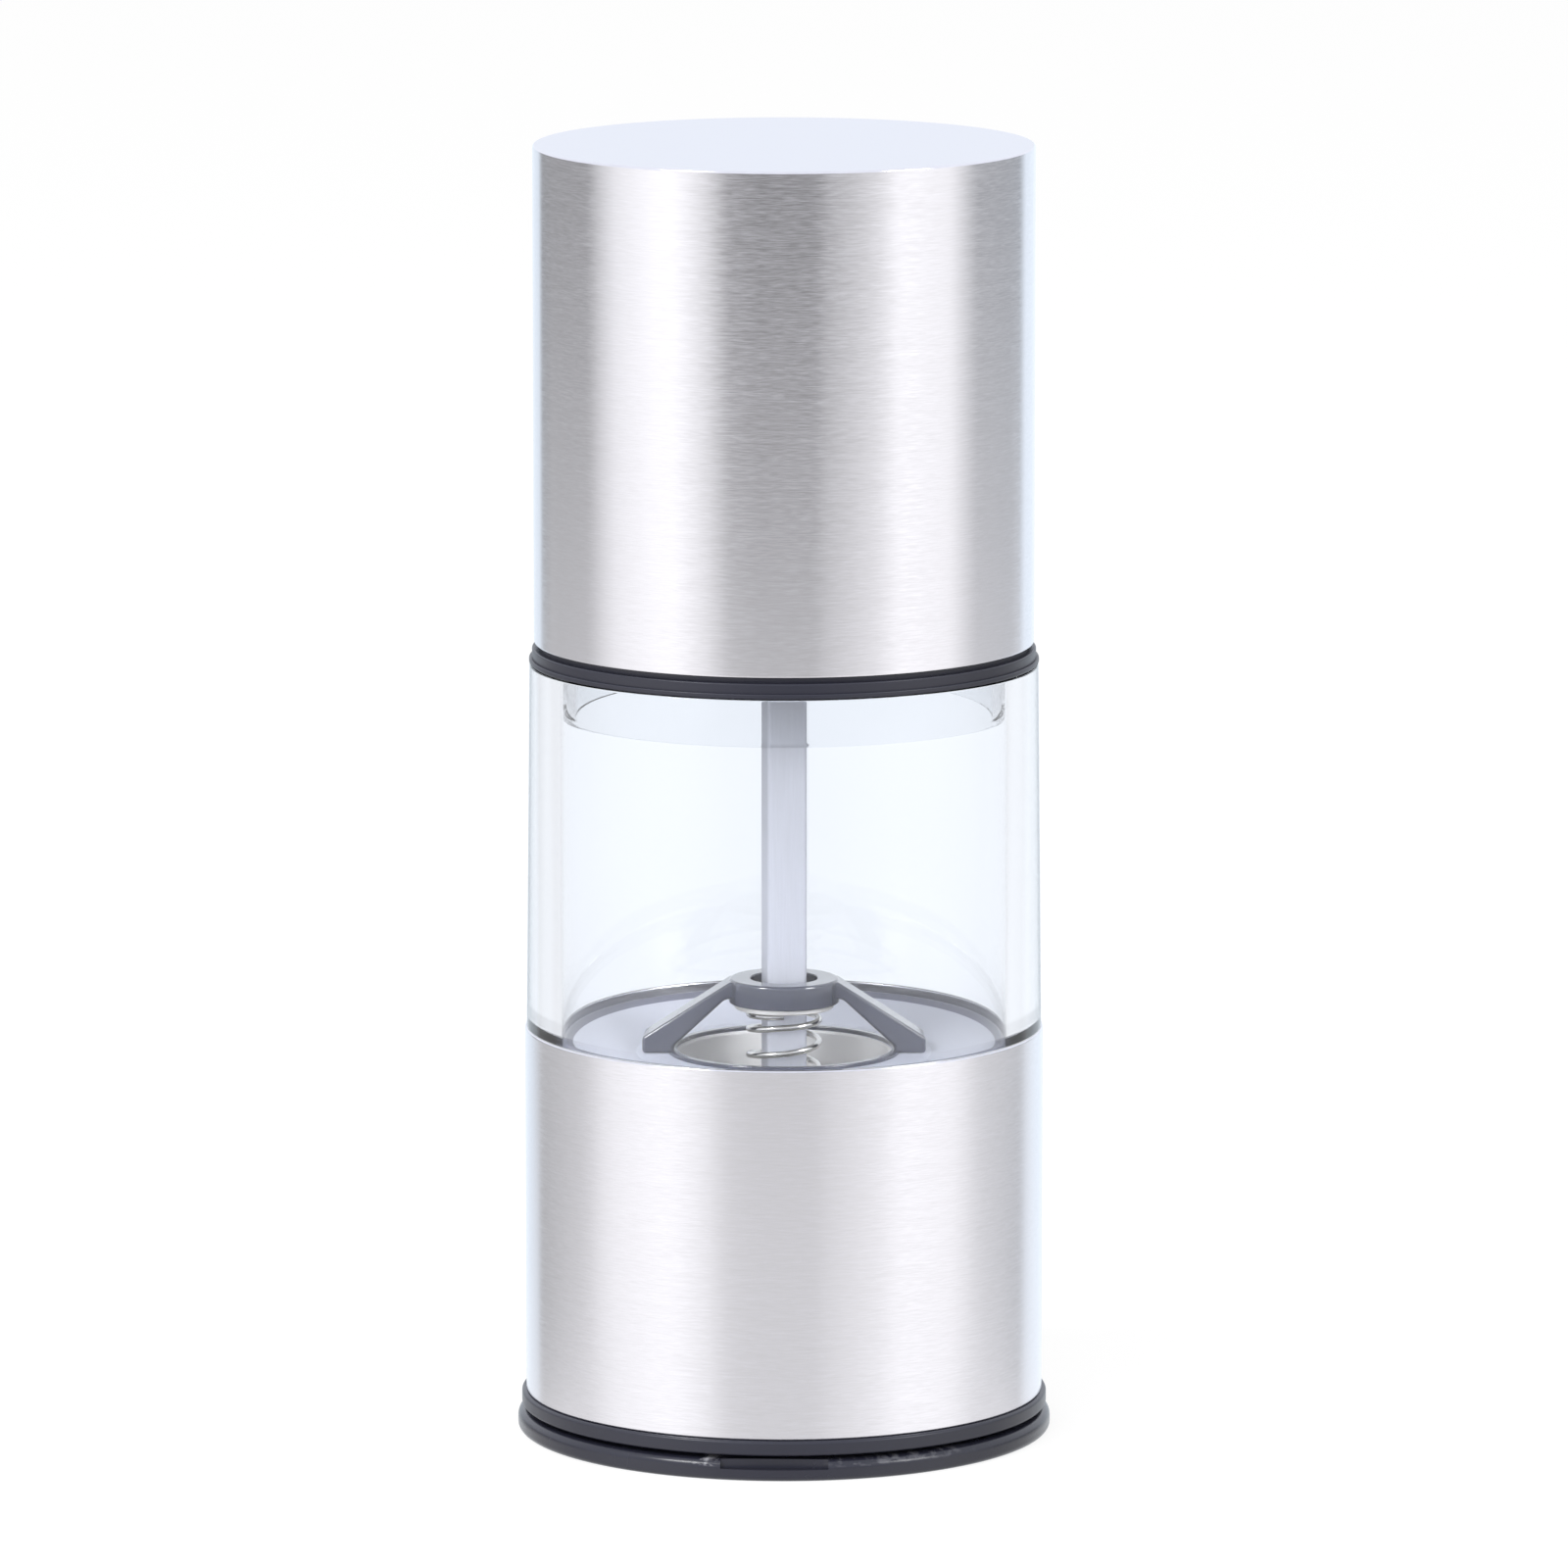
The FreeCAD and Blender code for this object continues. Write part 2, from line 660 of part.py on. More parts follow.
def bridge():
    """Hub on two sloping arms, with a recess for the clip and a barbed tab under each foot."""
    hub = turned([
        (hub_bore, hub_low),
        (hub_radius, hub_low, EDGE),
        (hub_radius, hub_high, EDGE),
        (recess_radius, hub_high, EDGE / 2),
        (recess_radius, clip_level),
        (hub_bore, clip_level),
    ])
    arm_in = recess_radius + HUB_WALL / 3
    arm = outline([
        (arm_in, hub_high - EDGE),
        (hub_radius - EDGE, hub_high - EDGE),
        (foot_out, floor_level + TOE_HEIGHT, 2 * EDGE),
        (foot_out, floor_level),
        (foot_in, floor_level),
        (foot_in, floor_level + EDGE),
        (hub_radius + 2 * EDGE, hub_low, 2 * EDGE),
        (arm_in, hub_low),
    ], upright)
    arm.translate(Vector(0, -ARM_WIDTH / 2, 0))
    arm = arm.extrude(Vector(0, ARM_WIDTH, 0))
    under = floor_level - FLOOR_WALL - FIT
    hook = outline([
        (tab_in, floor_level + TOE_HEIGHT / 2),
        (tab_out, floor_level + TOE_HEIGHT / 2),
        (tab_out, under),
        (tab_out + BARB, under),
        (tab_out, under - BARB_HEIGHT),
        (tab_in, under - BARB_HEIGHT),
    ], upright)
    hook.translate(Vector(0, -TAB_WIDTH / 2, 0))
    arm = arm.fuse(hook.extrude(Vector(0, TAB_WIDTH, 0)))
    return whole(hub.fuse(ring_of(arm, 2)))


def stator_burr():
    """Ceramic ring: coarse helical teeth above, flared fine teeth below, three keys outside."""
    body = rod(stator_radius, web_high, stator_top)
    key = block(stator_radius - HALF_OVERLAP, stator_radius + STATOR_KEY, KEY_WIDTH,
                web_high + KEY_RISE, web_high + COLLAR_HEIGHT)
    body = body.fuse(ring_of(key, KEY_COUNT, KEY_TURN))
    fine_bottom = HOLE_RADIUS + EDGE
    fine_top = fine_bottom - FINE_FLARE
    fine = toothed_cone(web_high, fine_high, fine_bottom, fine_top, -FINE_DEPTH, FINE_STATOR_TEETH)
    coarse = toothed_cone(fine_high, stator_top, fine_top + FINE_DEPTH, HOLE_RADIUS - EDGE,
                          -COARSE_DEPTH, COARSE_STATOR_TEETH, -COARSE_TWIST / 2, COARSE_STEPS)
    return whole(body.cut(fine).cut(coarse))


def core_keys(width, reach, low, high):
    """The two keys between the rotor and its core."""
    return ring_of(block(core_radius - HALF_OVERLAP, core_radius + reach, width, low, high), 2, SHAFT_TURN)


def rotor_burr():
    """Ceramic cone: coarse helical flutes above, flared fine teeth below, keyed bore."""
    fine_bottom = HOLE_RADIUS + EDGE - BURR_GAP
    fine_top = fine_bottom - FINE_FLARE
    fine = toothed_cone(rotor_low, fine_high, fine_bottom, fine_top, FINE_DEPTH, FINE_ROTOR_TEETH)
    nose = core_radius + FIT + NOSE_WALL + COARSE_DEPTH
    coarse = toothed_cone(fine_high, rotor_high, fine_top - FINE_DEPTH - FIT, nose,
                          COARSE_DEPTH, COARSE_ROTOR_TEETH, COARSE_TWIST, COARSE_STEPS)
    key_top = fine_high + FINE_HEIGHT
    body = fine.fuse(coarse).cut(rod(core_radius + FIT, rotor_low, rotor_high))
    return whole(body.cut(core_keys(CORE_KEY_WIDTH + 2 * FIT, CORE_KEY + FIT, rotor_low, key_top + FIT)))


def rotor_core():
    """Keyed moulding that carries the rotor on the square shaft."""
    body = turned([
        (0, core_low),
        (core_flange_radius, core_low, EDGE),
        (core_flange_radius, rotor_low),
        (core_radius, rotor_low),
        (core_radius, rotor_high),
        (0, rotor_high),
    ])
    body = body.fuse(core_keys(CORE_KEY_WIDTH, CORE_KEY, rotor_low, fine_high + FINE_HEIGHT))
    return whole(body.cut(square_bar(SHAFT_SIDE + 2 * SLIDE, core_low, rotor_high, SHAFT_EDGE)))


def adjuster_knob():
    """Scalloped knob with a boss up to the rotor core and a pocket for its nut."""
    bore = thread_radius + 2 * FIT
    body = turned([
        (bore, knob_low),
        (knob_radius, knob_low, 2 * EDGE),
        (knob_radius, boss_low, 2 * EDGE),
        (bore + BOSS_WALL, boss_low),
        (bore + BOSS_WALL, knob_high),
        (bore, knob_high),
    ])
    scallop = Part.makeCylinder(SCALLOP_RADIUS, KNOB_HEIGHT,
                                Vector(knob_radius + SCALLOP_RADIUS - SCALLOP_BITE, 0, knob_low))
    body = body.cut(ring_of(scallop, SCALLOPS, 180 / SCALLOPS))
    return whole(body.cut(hexagon(nut_flats + 2 * FIT, knob_low, knob_low + NUT_HEIGHT + FIT)))


def adjuster_nut():
    """Hexagonal nut pressed into the knob from below."""
    nut = hexagon(nut_flats, knob_low + FIT, knob_low + FIT + NUT_HEIGHT)
    return whole(nut.cut(rod(thread_radius + THREAD_CLEARANCE, knob_low, knob_high)))


def base_housing():
    """Black moulding: base ring, outlet wall, web with screw holes, collar of the toothed ring, skirt."""
    skirt_out = sleeve_inside - FIT
    skirt_in = skirt_out - SKIRT_WALL
    seat_in = stator_radius - SEAT_LEDGE
    body = turned([
        (outlet_radius, base_low, EDGE),
        (base_radius, base_low, EDGE),
        (base_radius, base_high, EDGE),
        (skirt_out, base_high),
        (skirt_out, flange_low),
        (skirt_in, flange_low),
        (skirt_in, web_high, 2 * EDGE),
        (collar_out, web_high, 2 * EDGE),
        (collar_out, web_high + COLLAR_HEIGHT),
        (collar_in, web_high + COLLAR_HEIGHT),
        (collar_in, web_high),
        (seat_in, web_high),
        (seat_in, web_low),
        (outlet_radius, web_low, 2 * EDGE),
    ])
    body = body.cut(screw_places(screw_hole(SCREW_RADIUS + FIT, web_low, web_high)))
    keyway = block(collar_in - HALF_OVERLAP, collar_out + HALF_OVERLAP, KEY_WIDTH + 2 * FIT,
                   web_high + KEY_RISE - FIT, web_high + COLLAR_HEIGHT)
    return whole(body.cut(ring_of(keyway, KEY_COUNT, KEY_TURN)))


def base_screws():
    """Screws from below, through the web into the posts of the hopper floor."""
    head_low = web_low - SCREW_HEAD_HEIGHT
    screw = turned([
        (0, head_low),
        (SCREW_HEAD, head_low, 2 * EDGE),
        (SCREW_HEAD, web_low),
        (SCREW_RADIUS, web_low),
        (SCREW_RADIUS, web_low + SCREW_LENGTH, EDGE),
        (0, web_low + SCREW_LENGTH),
    ])
    screw.translate(Vector(screw_circle, 0, 0))
    return Part.makeCompound(screw_places(screw))


def dust_cap():
    """Push-on lid: foot ring, bevelled rim with a finger notch, and a plug up into the outlet."""
    foot_out_radius = lid_radius - LID_BEVEL
    foot_in_radius = foot_out_radius - FOOT_RING_WIDTH
    body = turned([
        (0, FOOT_RECESS),
        (foot_in_radius, FOOT_RECESS, EDGE),
        (foot_in_radius, 0, EDGE),
        (lid_radius, 0, 2 * EDGE),
        (lid_radius, LID_RIM_HEIGHT - LID_BEVEL),
        (lid_radius - LID_BEVEL, LID_RIM_HEIGHT),
        (lid_plug_out, LID_RIM_HEIGHT),
        (lid_plug_out, base_low + LID_PLUG, EDGE),
        (lid_plug_in, base_low + LID_PLUG, EDGE),
        (lid_plug_in, FOOT_RECESS + LID_FLOOR, 2 * EDGE),
        (0, FOOT_RECESS + LID_FLOOR),
    ])
    notch = Part.makeBox(NOTCH_WIDTH, 2 * NOTCH_DEPTH, 2 * NOTCH_HEIGHT,
                         Vector(-NOTCH_WIDTH / 2, -lid_radius - NOTCH_DEPTH, LID_RIM_HEIGHT - NOTCH_HEIGHT))
    return whole(body.cut(around(notch, NOTCH_TURN)))


PIECES = [
    cap_shell, cap_ring, cap_liner, shaft_grip,
    drive_shaft, shaft_clip, thrust_washer, burr_spring,
    spring_seat, rotor_burr, rotor_core, adjuster_knob, adjuster_nut,
    jar, jar_seal, lower_sleeve, hopper_floor, bridge, stator_burr, base_housing, base_screws,
    dust_cap,
]

os.makedirs("parts", exist_ok=True)
for piece in PIECES:
    piece().exportStep("parts/" + piece.__name__ + ".step")
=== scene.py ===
"""Finished pieces, materials and stage of a pepper mill with a twist cap."""

import json
import math

import bmesh
import bpy
from bpy.props import FloatProperty, FloatVectorProperty, IntProperty, PointerProperty
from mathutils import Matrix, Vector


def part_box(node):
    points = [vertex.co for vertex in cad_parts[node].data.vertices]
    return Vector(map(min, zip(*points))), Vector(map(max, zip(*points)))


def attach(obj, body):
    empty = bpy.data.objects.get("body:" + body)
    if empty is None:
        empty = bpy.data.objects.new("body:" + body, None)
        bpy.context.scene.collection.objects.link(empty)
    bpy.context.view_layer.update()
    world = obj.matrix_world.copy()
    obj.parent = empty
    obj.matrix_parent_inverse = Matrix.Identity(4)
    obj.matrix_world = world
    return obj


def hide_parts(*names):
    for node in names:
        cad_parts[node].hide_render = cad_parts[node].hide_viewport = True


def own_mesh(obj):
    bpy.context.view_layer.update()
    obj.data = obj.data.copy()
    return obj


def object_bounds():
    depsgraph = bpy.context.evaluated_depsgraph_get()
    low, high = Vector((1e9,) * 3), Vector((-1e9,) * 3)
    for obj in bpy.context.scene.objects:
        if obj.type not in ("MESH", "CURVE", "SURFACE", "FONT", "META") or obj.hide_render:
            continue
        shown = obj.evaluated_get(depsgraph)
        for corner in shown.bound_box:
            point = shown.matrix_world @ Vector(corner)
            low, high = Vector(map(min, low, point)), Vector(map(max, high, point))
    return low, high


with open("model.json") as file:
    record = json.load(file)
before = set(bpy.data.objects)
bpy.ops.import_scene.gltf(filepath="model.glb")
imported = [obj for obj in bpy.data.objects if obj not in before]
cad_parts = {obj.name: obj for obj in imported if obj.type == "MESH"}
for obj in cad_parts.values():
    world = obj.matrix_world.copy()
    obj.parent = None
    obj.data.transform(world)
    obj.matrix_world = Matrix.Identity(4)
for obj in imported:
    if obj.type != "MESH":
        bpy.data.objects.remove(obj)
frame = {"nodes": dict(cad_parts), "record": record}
cad_low, cad_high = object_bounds()

bl_info = {
    "name": "Pepper Mill",
    "version": (1, 0, 0),
    "blender": (4, 5, 0),
    "location": "View3D > Sidebar > Pepper Mill",
    "description": "Makes the pieces, materials and stage of a pepper mill on its frame",
    "category": "Object",
}

MM = 0.001
MERGE = 0.001 * MM              # points closer than this are one point
FLAT = math.radians(0.5)        # faces within this of each other are one face
SHARP = math.radians(38.0)      # edges steeper than this stay crisp
ARC_STEPS = 6                   # straight steps in a rounded corner
BEVEL_STEPS = 3                 # straight steps in a rounded-off edge
ROUND_STEPS = 48                # straight steps round a small turned piece
CORNER_SHARE = 0.45             # most of an edge that the rounding at one end may take
GUARD = 0.02 * MM               # short step beside an arc that keeps the wall's shading flat
PLASTIC_INDEX = 1.5             # index of refraction of the plain plastics
GRAIN = 6500.0                  # scale of the moulded plastics' grain
CLOUD = 160.0                   # scale of their broad unevenness

BODY_OF = {
    node: body
    for body, nodes in frame["record"]["behaviour"]["bodies"].items()
    for node in nodes
}


# Settings

def length(name, description, millimetres):
    """Length property, given in millimetres."""
    return FloatProperty(name=name, description=description, default=millimetres * MM,
                         min=0.0, precision=5, unit="LENGTH")


def turn(name, description, degrees):
    """Angle property, given in degrees."""
    return FloatProperty(name=name, description=description, default=math.radians(degrees),
                         unit="ROTATION")


def share(name, description, value):
    """Property between nought and one."""
    return FloatProperty(name=name, description=description, default=value,
                         min=0.0, max=1.0, subtype="FACTOR")


def amount(name, description, value):
    """Plain positive number."""
    return FloatProperty(name=name, description=description, default=value, min=0.0)


def tint(name, description, red, green, blue):
    """Colour property."""
    return FloatVectorProperty(name=name, description=description, default=(red, green, blue),
                               min=0.0, max=1.0, size=3, subtype="COLOR")


class MILL_PG_steel(bpy.types.PropertyGroup):
    """Steel cap and sleeve."""

    sheet: length("Sheet", "Thickness of the steel", 0.5)
    top_edge: length("Top Edge", "Rounding of the cap's top edge", 0.25)
    hem: length("Hem", "Rounding of the polished open edges", 0.2)
    colour: tint("Steel", "Colour of the brushed steel", 0.80, 0.788, 0.825)
    cap_roughness: share("Cap Roughness", "Roughness of the cap across its brush lines", 0.17)
    sleeve_roughness: share("Sleeve Roughness", "Roughness of the sleeve across its brush lines", 0.20)
    cap_stretch: share("Cap Stretch", "How far the cap's brush lines stretch a reflection", 0.85)
    sleeve_stretch: share("Sleeve Stretch", "How far the sleeve's brush lines stretch a reflection", 0.8)
    sides: IntProperty(name="Sides", description="Steps round a turned piece", default=256, min=24)


class MILL_PG_moulding(bpy.types.PropertyGroup):
    """Black mouldings, cap liner and other plastic pieces."""

    lip_height: length("Lip Height", "Lip under the cap ring's band", 0.5)
    band_step: length("Band Step", "Band of the cap ring inside its lip", 0.3)
    groove: length("Groove", "Shadow line under the steel cap", 0.5)
    spigot_wall: length("Spigot Wall", "Cap ring's wall inside the steel", 1.2)
    ledge_rise: length("Ledge Rise", "Ledge of the cap ring that carries the liner", 1.3)
    ledge_width: length("Ledge Width", "Ledge inside the spigot", 0.95)
    fit: length("Fit", "Clearance between assembled pieces", 0.1)
    edge: length("Edge", "Rounding of moulded edges", 0.15)
    black: tint("Black", "Colour of the black mouldings", 0.019, 0.0195, 0.032)
    nick: tint("Nick", "Colour of nicks in the black", 0.42, 0.42, 0.46)
    pale: tint("Pale", "Colour of the rotor core", 0.70, 0.73, 0.82)
    natural: tint("Natural", "Colour of the undyed cap liner", 0.95, 0.96, 0.97)
    natural_index: amount("Natural Index", "Index of refraction of the cap liner", 1.04)
    natural_murk: amount("Natural Murk", "How fast the cap liner darkens with depth, per metre", 50.0)
    silicone: tint("Silicone", "Colour of the jar seal", 0.62, 0.63, 0.64)


class MILL_PG_bridge(bpy.types.PropertyGroup):
    """Bridge over the hopper floor, and the floor itself."""

    hub_radius: length("Hub Radius", "Outside of the hub", 5.58)
    hub_height: length("Hub Height", "Height of the hub", 2.45)
    hub_wall: length("Hub Wall", "Wall around the clip", 2.2)
    hub_bore: length("Hub Bore", "Radius of the hole for the shaft", 2.88)
    clip_recess: length("Clip Recess", "Depth of the recess for the clip", 1.45)
    arm_width: length("Arm Width", "Width of the two arms", 4.2)
    floor_level: length("Floor Level", "Ledge that the feet stand on", 38.6)
    foot_reach: length("Foot Reach", "Outside of the feet from the axis", 14.2)
    foot_length: length("Foot Length", "Feet along the arms", 3.2)
    toe_height: length("Toe Height", "Height of the feet at their outside", 1.6)
    arch: length("Arch", "Rise of the arms' underside above the feet", 0.7)
    tab_thickness: length("Tab Thickness", "Tabs that hold the feet in the floor", 1.3)
    tab_width: length("Tab Width", "Width of the tabs", 2.6)
    barb_height: length("Barb Height", "Height of the barb on a tab", 1.4)
    hoop_radius: length("Hoop Radius", "Inside of the hoop that joins the feet", 10.9)
    hoop_width: length("Hoop Width", "Width of the hoop", 0.8)
    hoop_height: length("Hoop Height", "Height of the hoop", 0.4)
    edge: length("Edge", "Rounding of the bridge's edges", 0.35)
    grey: tint("Grey", "Colour of the bridge", 0.060, 0.0655, 0.095)
    floor: tint("Floor", "Colour of the hopper floor", 0.64, 0.67, 0.78)
    # Throat is painted light: a paler colour where little light reaches inside the throat
    throat: tint("Throat", "Colour of the hopper floor inside its throat", 0.93, 0.93, 0.94)
    # Rim is painted shade: a dark colour where the rim meets the jar; the rim level below is where that
    # painted shade starts
    rim: tint("Rim", "Colour of the hopper floor's rim", 0.19, 0.20, 0.265)
    shaded_rim_level: length("Rim Level", "Lower edge of that rim", 40.25)


class MILL_PG_base(bpy.types.PropertyGroup):
    """Base housing and dust cap."""

    edge: length("Edge", "Rounding of the base's edges", 0.3)
    wall: length("Wall", "Wall around the outlet", 2.8)
    skirt_wall: length("Skirt Wall", "Wall inside the sleeve", 1.6)
    web_low: length("Web Low", "Underside of the web that holds the burr", 14.0)
    web: length("Web", "Thickness of the web", 1.6)
    seat: length("Seat", "Radius of the hole in the web", 12.2)
    collar: length("Collar", "Radius of the bore for the burr", 13.9)
    collar_wall: length("Collar Wall", "Wall around the burr", 1.2)
    collar_height: length("Collar Height", "Height of the wall around the burr", 8.0)
    key_count: IntProperty(name="Keys", description="Keyways for the burr", default=3, min=1)
    key_turn: turn("Key Turn", "First keyway about Z", 30.0)
    key_width: length("Key Width", "Width of a keyway", 3.2)
    key_rise: length("Key Rise", "Keyways above the web", 2.9)
    rim_height: length("Rim Height", "Rim of the dust cap", 2.1)
    rim_edge: length("Rim Edge", "Rounding of the dust cap's rim", 0.9)
    foot: length("Foot", "Inside of the ring that the mill stands on", 21.15)
    foot_recess: length("Foot Recess", "Recess inside that ring", 0.6)
    lid_floor: length("Lid Floor", "Floor of the dust cap", 1.2)
    lid_play: length("Lid Play", "Clearance of the dust cap in the outlet", 0.15)
    plug_wall: length("Plug Wall", "Wall of the dust cap inside the outlet", 1.45)
    notch_width: length("Notch Width", "Finger notch in the dust cap", 10.7)
    notch_depth: length("Notch Depth", "Depth of the finger notch", 1.2)
    notch_height: length("Notch Height", "Height of the finger notch", 0.9)
    notch_turn: turn("Notch Turn", "Finger notch about Z, from the front", -2.1)


class MILL_PG_jar(bpy.types.PropertyGroup):
    """Clear jar."""

    wall: length("Wall", "Wall at the rim", 3.05)
    draft: length("Draft", "Foot wider than the rim", 0.4)
    rim_edge: length("Rim Edge", "Rounding of the rim", 0.15)
    colour: tint("Clear", "Tint of the acrylic", 0.975, 0.985, 1.0)
    index: amount("Index", "Index of refraction", 1.49)


class MILL_PG_drive(bpy.types.PropertyGroup):
    """Shaft, spring, burrs and small fasteners."""

    shaft_side: length("Shaft Side", "Across the flats of the shaft", 4.0)
    shaft_edge: length("Shaft Edge", "Rounding of the shaft's long edges", 0.35)
    shaft_turn: turn("Shaft Turn", "Shaft about Z at rest", 10.0)
    shaft_tip: length("Shaft Tip", "Chamfer at the top", 0.8)
    groove_depth: length("Clip Groove", "Clip groove below the flats", 0.3)
    clip_play: length("Clip Play", "Groove above and below the clip", 0.05)
    threaded: length("Threaded Length", "Round end with the thread", 8.4)
    thread_ridge: length("Thread Ridge", "Half the width of one thread", 0.3)
    thread_pitch: length("Thread Pitch", "Rise of the thread in one turn", 0.7)
    wire: length("Wire", "Thickness of the spring's wire", 0.65)
    end_pitch: length("End Pitch", "Pitch of the spring's first and last turn", 1.15)
    open_turns: amount("Open Turns", "Turns between the two closer ones", 4.25)
    top_angle: turn("Top Angle", "Where the spring ends at the top", -90.0)
    screw_count: IntProperty(name="Screws", description="Screws in the base", default=3, min=1)
    screw_head: length("Screw Head", "Radius of a screw head", 2.2)
    screw_head_height: length("Head Height", "Height of a screw head", 1.6)
    screw_shank: length("Screw Shank", "Radius of a screw's shank", 1.25)
    screw_cross: length("Cross Width", "Width of the recess in a screw head", 0.65)
    shaft: tint("Shaft", "Colour of the shaft", 0.75, 0.775, 0.87)
    spring: tint("Spring", "Colour of spring wire, washers and clips", 0.72, 0.71, 0.69)
    washer: tint("Washer", "Colour of the washer under the bridge", 0.90, 0.88, 0.84)
    ceramic: tint("Ceramic", "Colour of the burrs", 0.82, 0.80, 0.75)
    brass: tint("Brass", "Colour of the nut", 0.72, 0.53, 0.24)


class MILL_PG_stage(bpy.types.PropertyGroup):
    """Camera, lamps, floor and backdrop."""

    distance: length("Distance", "Camera from the mill's axis, along the floor", 1173.6)
    height: length("Height", "Camera above the floor", 258.3)
    tilt: turn("Tilt", "Camera below the horizon", 9.326)
    lens: amount("Lens", "Focal length on a 36 mm sensor, in millimetres", 272.5)
    floor_reach: length("Floor Reach", "Radius of the floor", 4000.0)
    floor: tint("Floor", "Colour of the floor", 0.80, 0.80, 0.80)
    key_power: amount("Key Power", "Left lamp, in watts", 7.0)
    fill_power: amount("Fill Power", "Right lamp, in watts", 3.5)
    front_power: amount("Front Power", "Lamp beside the camera, in watts", 15.0)
    ambient: amount("Ambient", "Even light of the studio", 0.46)
    studio: amount("Studio", "Brightness of what the metal reflects", 1.3)
    sides: IntProperty(name="Sides", description="Steps round the floor", default=96, min=24)


# Nodes

def add_node(tree, kind, inputs=None, **settings):
    """Node with its settings made; each input is a value or an output to link."""
    node = tree.nodes.new(kind)
    for name, value in settings.items():
        setattr(node, name, value)
    for key, value in (inputs or {}).items():
        if isinstance(value, bpy.types.NodeSocket):
            tree.links.new(value, node.inputs[key])
        else:
            node.inputs[key].default_value = value
    return node


def maths(tree, operation, first, second=0.0):
    """Result of one sum on two numbers."""
    return add_node(tree, "ShaderNodeMath", {0: first, 1: second}, operation=operation).outputs[0]


def vector(tree, x, y, z):
    """Vector from three numbers."""
    return add_node(tree, "ShaderNodeCombineXYZ", {0: x, 1: y, 2: z}).outputs[0]


def axes(tree, place):
    """The three numbers of a vector."""
    return add_node(tree, "ShaderNodeSeparateXYZ", {0: place}).outputs


def noise(tree, place, scale, detail=2.0):
    """Strength of a cloudy pattern."""
    return add_node(tree, "ShaderNodeTexNoise",
                    {"Vector": place, "Scale": scale, "Detail": detail}).outputs[0]


def between(tree, value, low, high, from_low=0.3, from_high=0.7):
    """Number brought from one range to another, and kept inside it."""
    return add_node(tree, "ShaderNodeMapRange",
                    {0: value, 1: from_low, 2: from_high, 3: low, 4: high}).outputs[0]


def mixed(tree, factor, first, second):
    """Colour between two colours."""
    node = add_node(tree, "ShaderNodeMix", {0: factor, 6: first, 7: second}, data_type="RGBA")
    return node.outputs[2]


def span(tree, place):
    """Length of a vector."""
    return add_node(tree, "ShaderNodeVectorMath", {0: place}, operation="LENGTH").outputs["Value"]


def stretch_of(tree, value, start, full, fading, end):
    """One inside a range, fading to nought at both of its ends."""
    rise = between(tree, value, 0.0, 1.0, start, full)
    return maths(tree, "MULTIPLY", rise, between(tree, value, 1.0, 0.0, fading, end))


def shaded(colour, brightness=1.0):
    """Colour made darker or lighter, with its alpha."""
    return tuple(min(part * brightness, 1.0) for part in colour) + (1.0,)


def uneven_tone(tree, pattern, colour, darker, lighter):
    """Colour that changes a little with a pattern."""
    return mixed(tree, pattern, shaded(colour, darker), shaded(colour, lighter))


def blend(tree, factor, first, second):
    """Shader between two shaders."""
    return add_node(tree, "ShaderNodeMixShader", {0: factor, 1: first, 2: second}).outputs[0]


# Geometry trees

def new_tree(name, inputs):
    """Empty geometry tree and its named inputs."""
    tree = bpy.data.node_groups.new(name, "GeometryNodeTree")
    tree.interface.new_socket("Geometry", in_out="OUTPUT", socket_type="NodeSocketGeometry")
    for label, kind in inputs.items():
        tree.interface.new_socket(label, in_out="INPUT", socket_type="NodeSocket" + kind)
    return tree, tree.nodes.new("NodeGroupInput").outputs


def close_tree(tree, geometry, material):
    """Ends a tree in real, painted geometry."""
    smooth = add_node(tree, "GeometryNodeSetShadeSmooth", {"Geometry": geometry}).outputs[0]
    real = add_node(tree, "GeometryNodeRealizeInstances", {"Geometry": smooth}).outputs[0]
    painted = add_node(tree, "GeometryNodeSetMaterial", {"Geometry": real, "Material": material})
    add_node(tree, "NodeGroupOutput", {"Geometry": painted.outputs[0]})
    return tree


def turning_tree():
    """Turns an outline, drawn as points in the XZ plane, about Z."""
    tree, given = new_tree("Turned Piece", {
        "Outline": "Geometry", "Sides": "Int", "Material": "Material"})
    count = add_node(tree, "GeometryNodeAttributeDomainSize",
                     {"Geometry": given["Outline"]}, component="MESH").outputs["Point Count"]
    grid = add_node(tree, "GeometryNodeMeshGrid", {
        "Vertices X": maths(tree, "ADD", given["Sides"], 1.0), "Vertices Y": count})
    index = add_node(tree, "GeometryNodeInputIndex").outputs[0]
    side = maths(tree, "FLOOR", maths(tree, "DIVIDE", index, count))
    position = add_node(tree, "GeometryNodeInputPosition").outputs[0]
    drawn = add_node(tree, "GeometryNodeSampleIndex", {
        "Geometry": given["Outline"], "Value": position,
        "Index": maths(tree, "MODULO", index, count)}, data_type="FLOAT_VECTOR")
    radius, _, height = axes(tree, drawn.outputs[0])
    angle = maths(tree, "DIVIDE", maths(tree, "MULTIPLY", side, 2 * math.pi), given["Sides"])
    place = vector(tree, maths(tree, "MULTIPLY", radius, maths(tree, "COSINE", angle)),
                   maths(tree, "MULTIPLY", radius, maths(tree, "SINE", angle)), height)
    moved = add_node(tree, "GeometryNodeSetPosition", {
        "Geometry": grid.outputs["Mesh"], "Position": place}).outputs[0]
    merged = add_node(tree, "GeometryNodeMergeByDistance", {
        "Geometry": moved, "Distance": MERGE}).outputs[0]
    return close_tree(tree, merged, given["Material"])


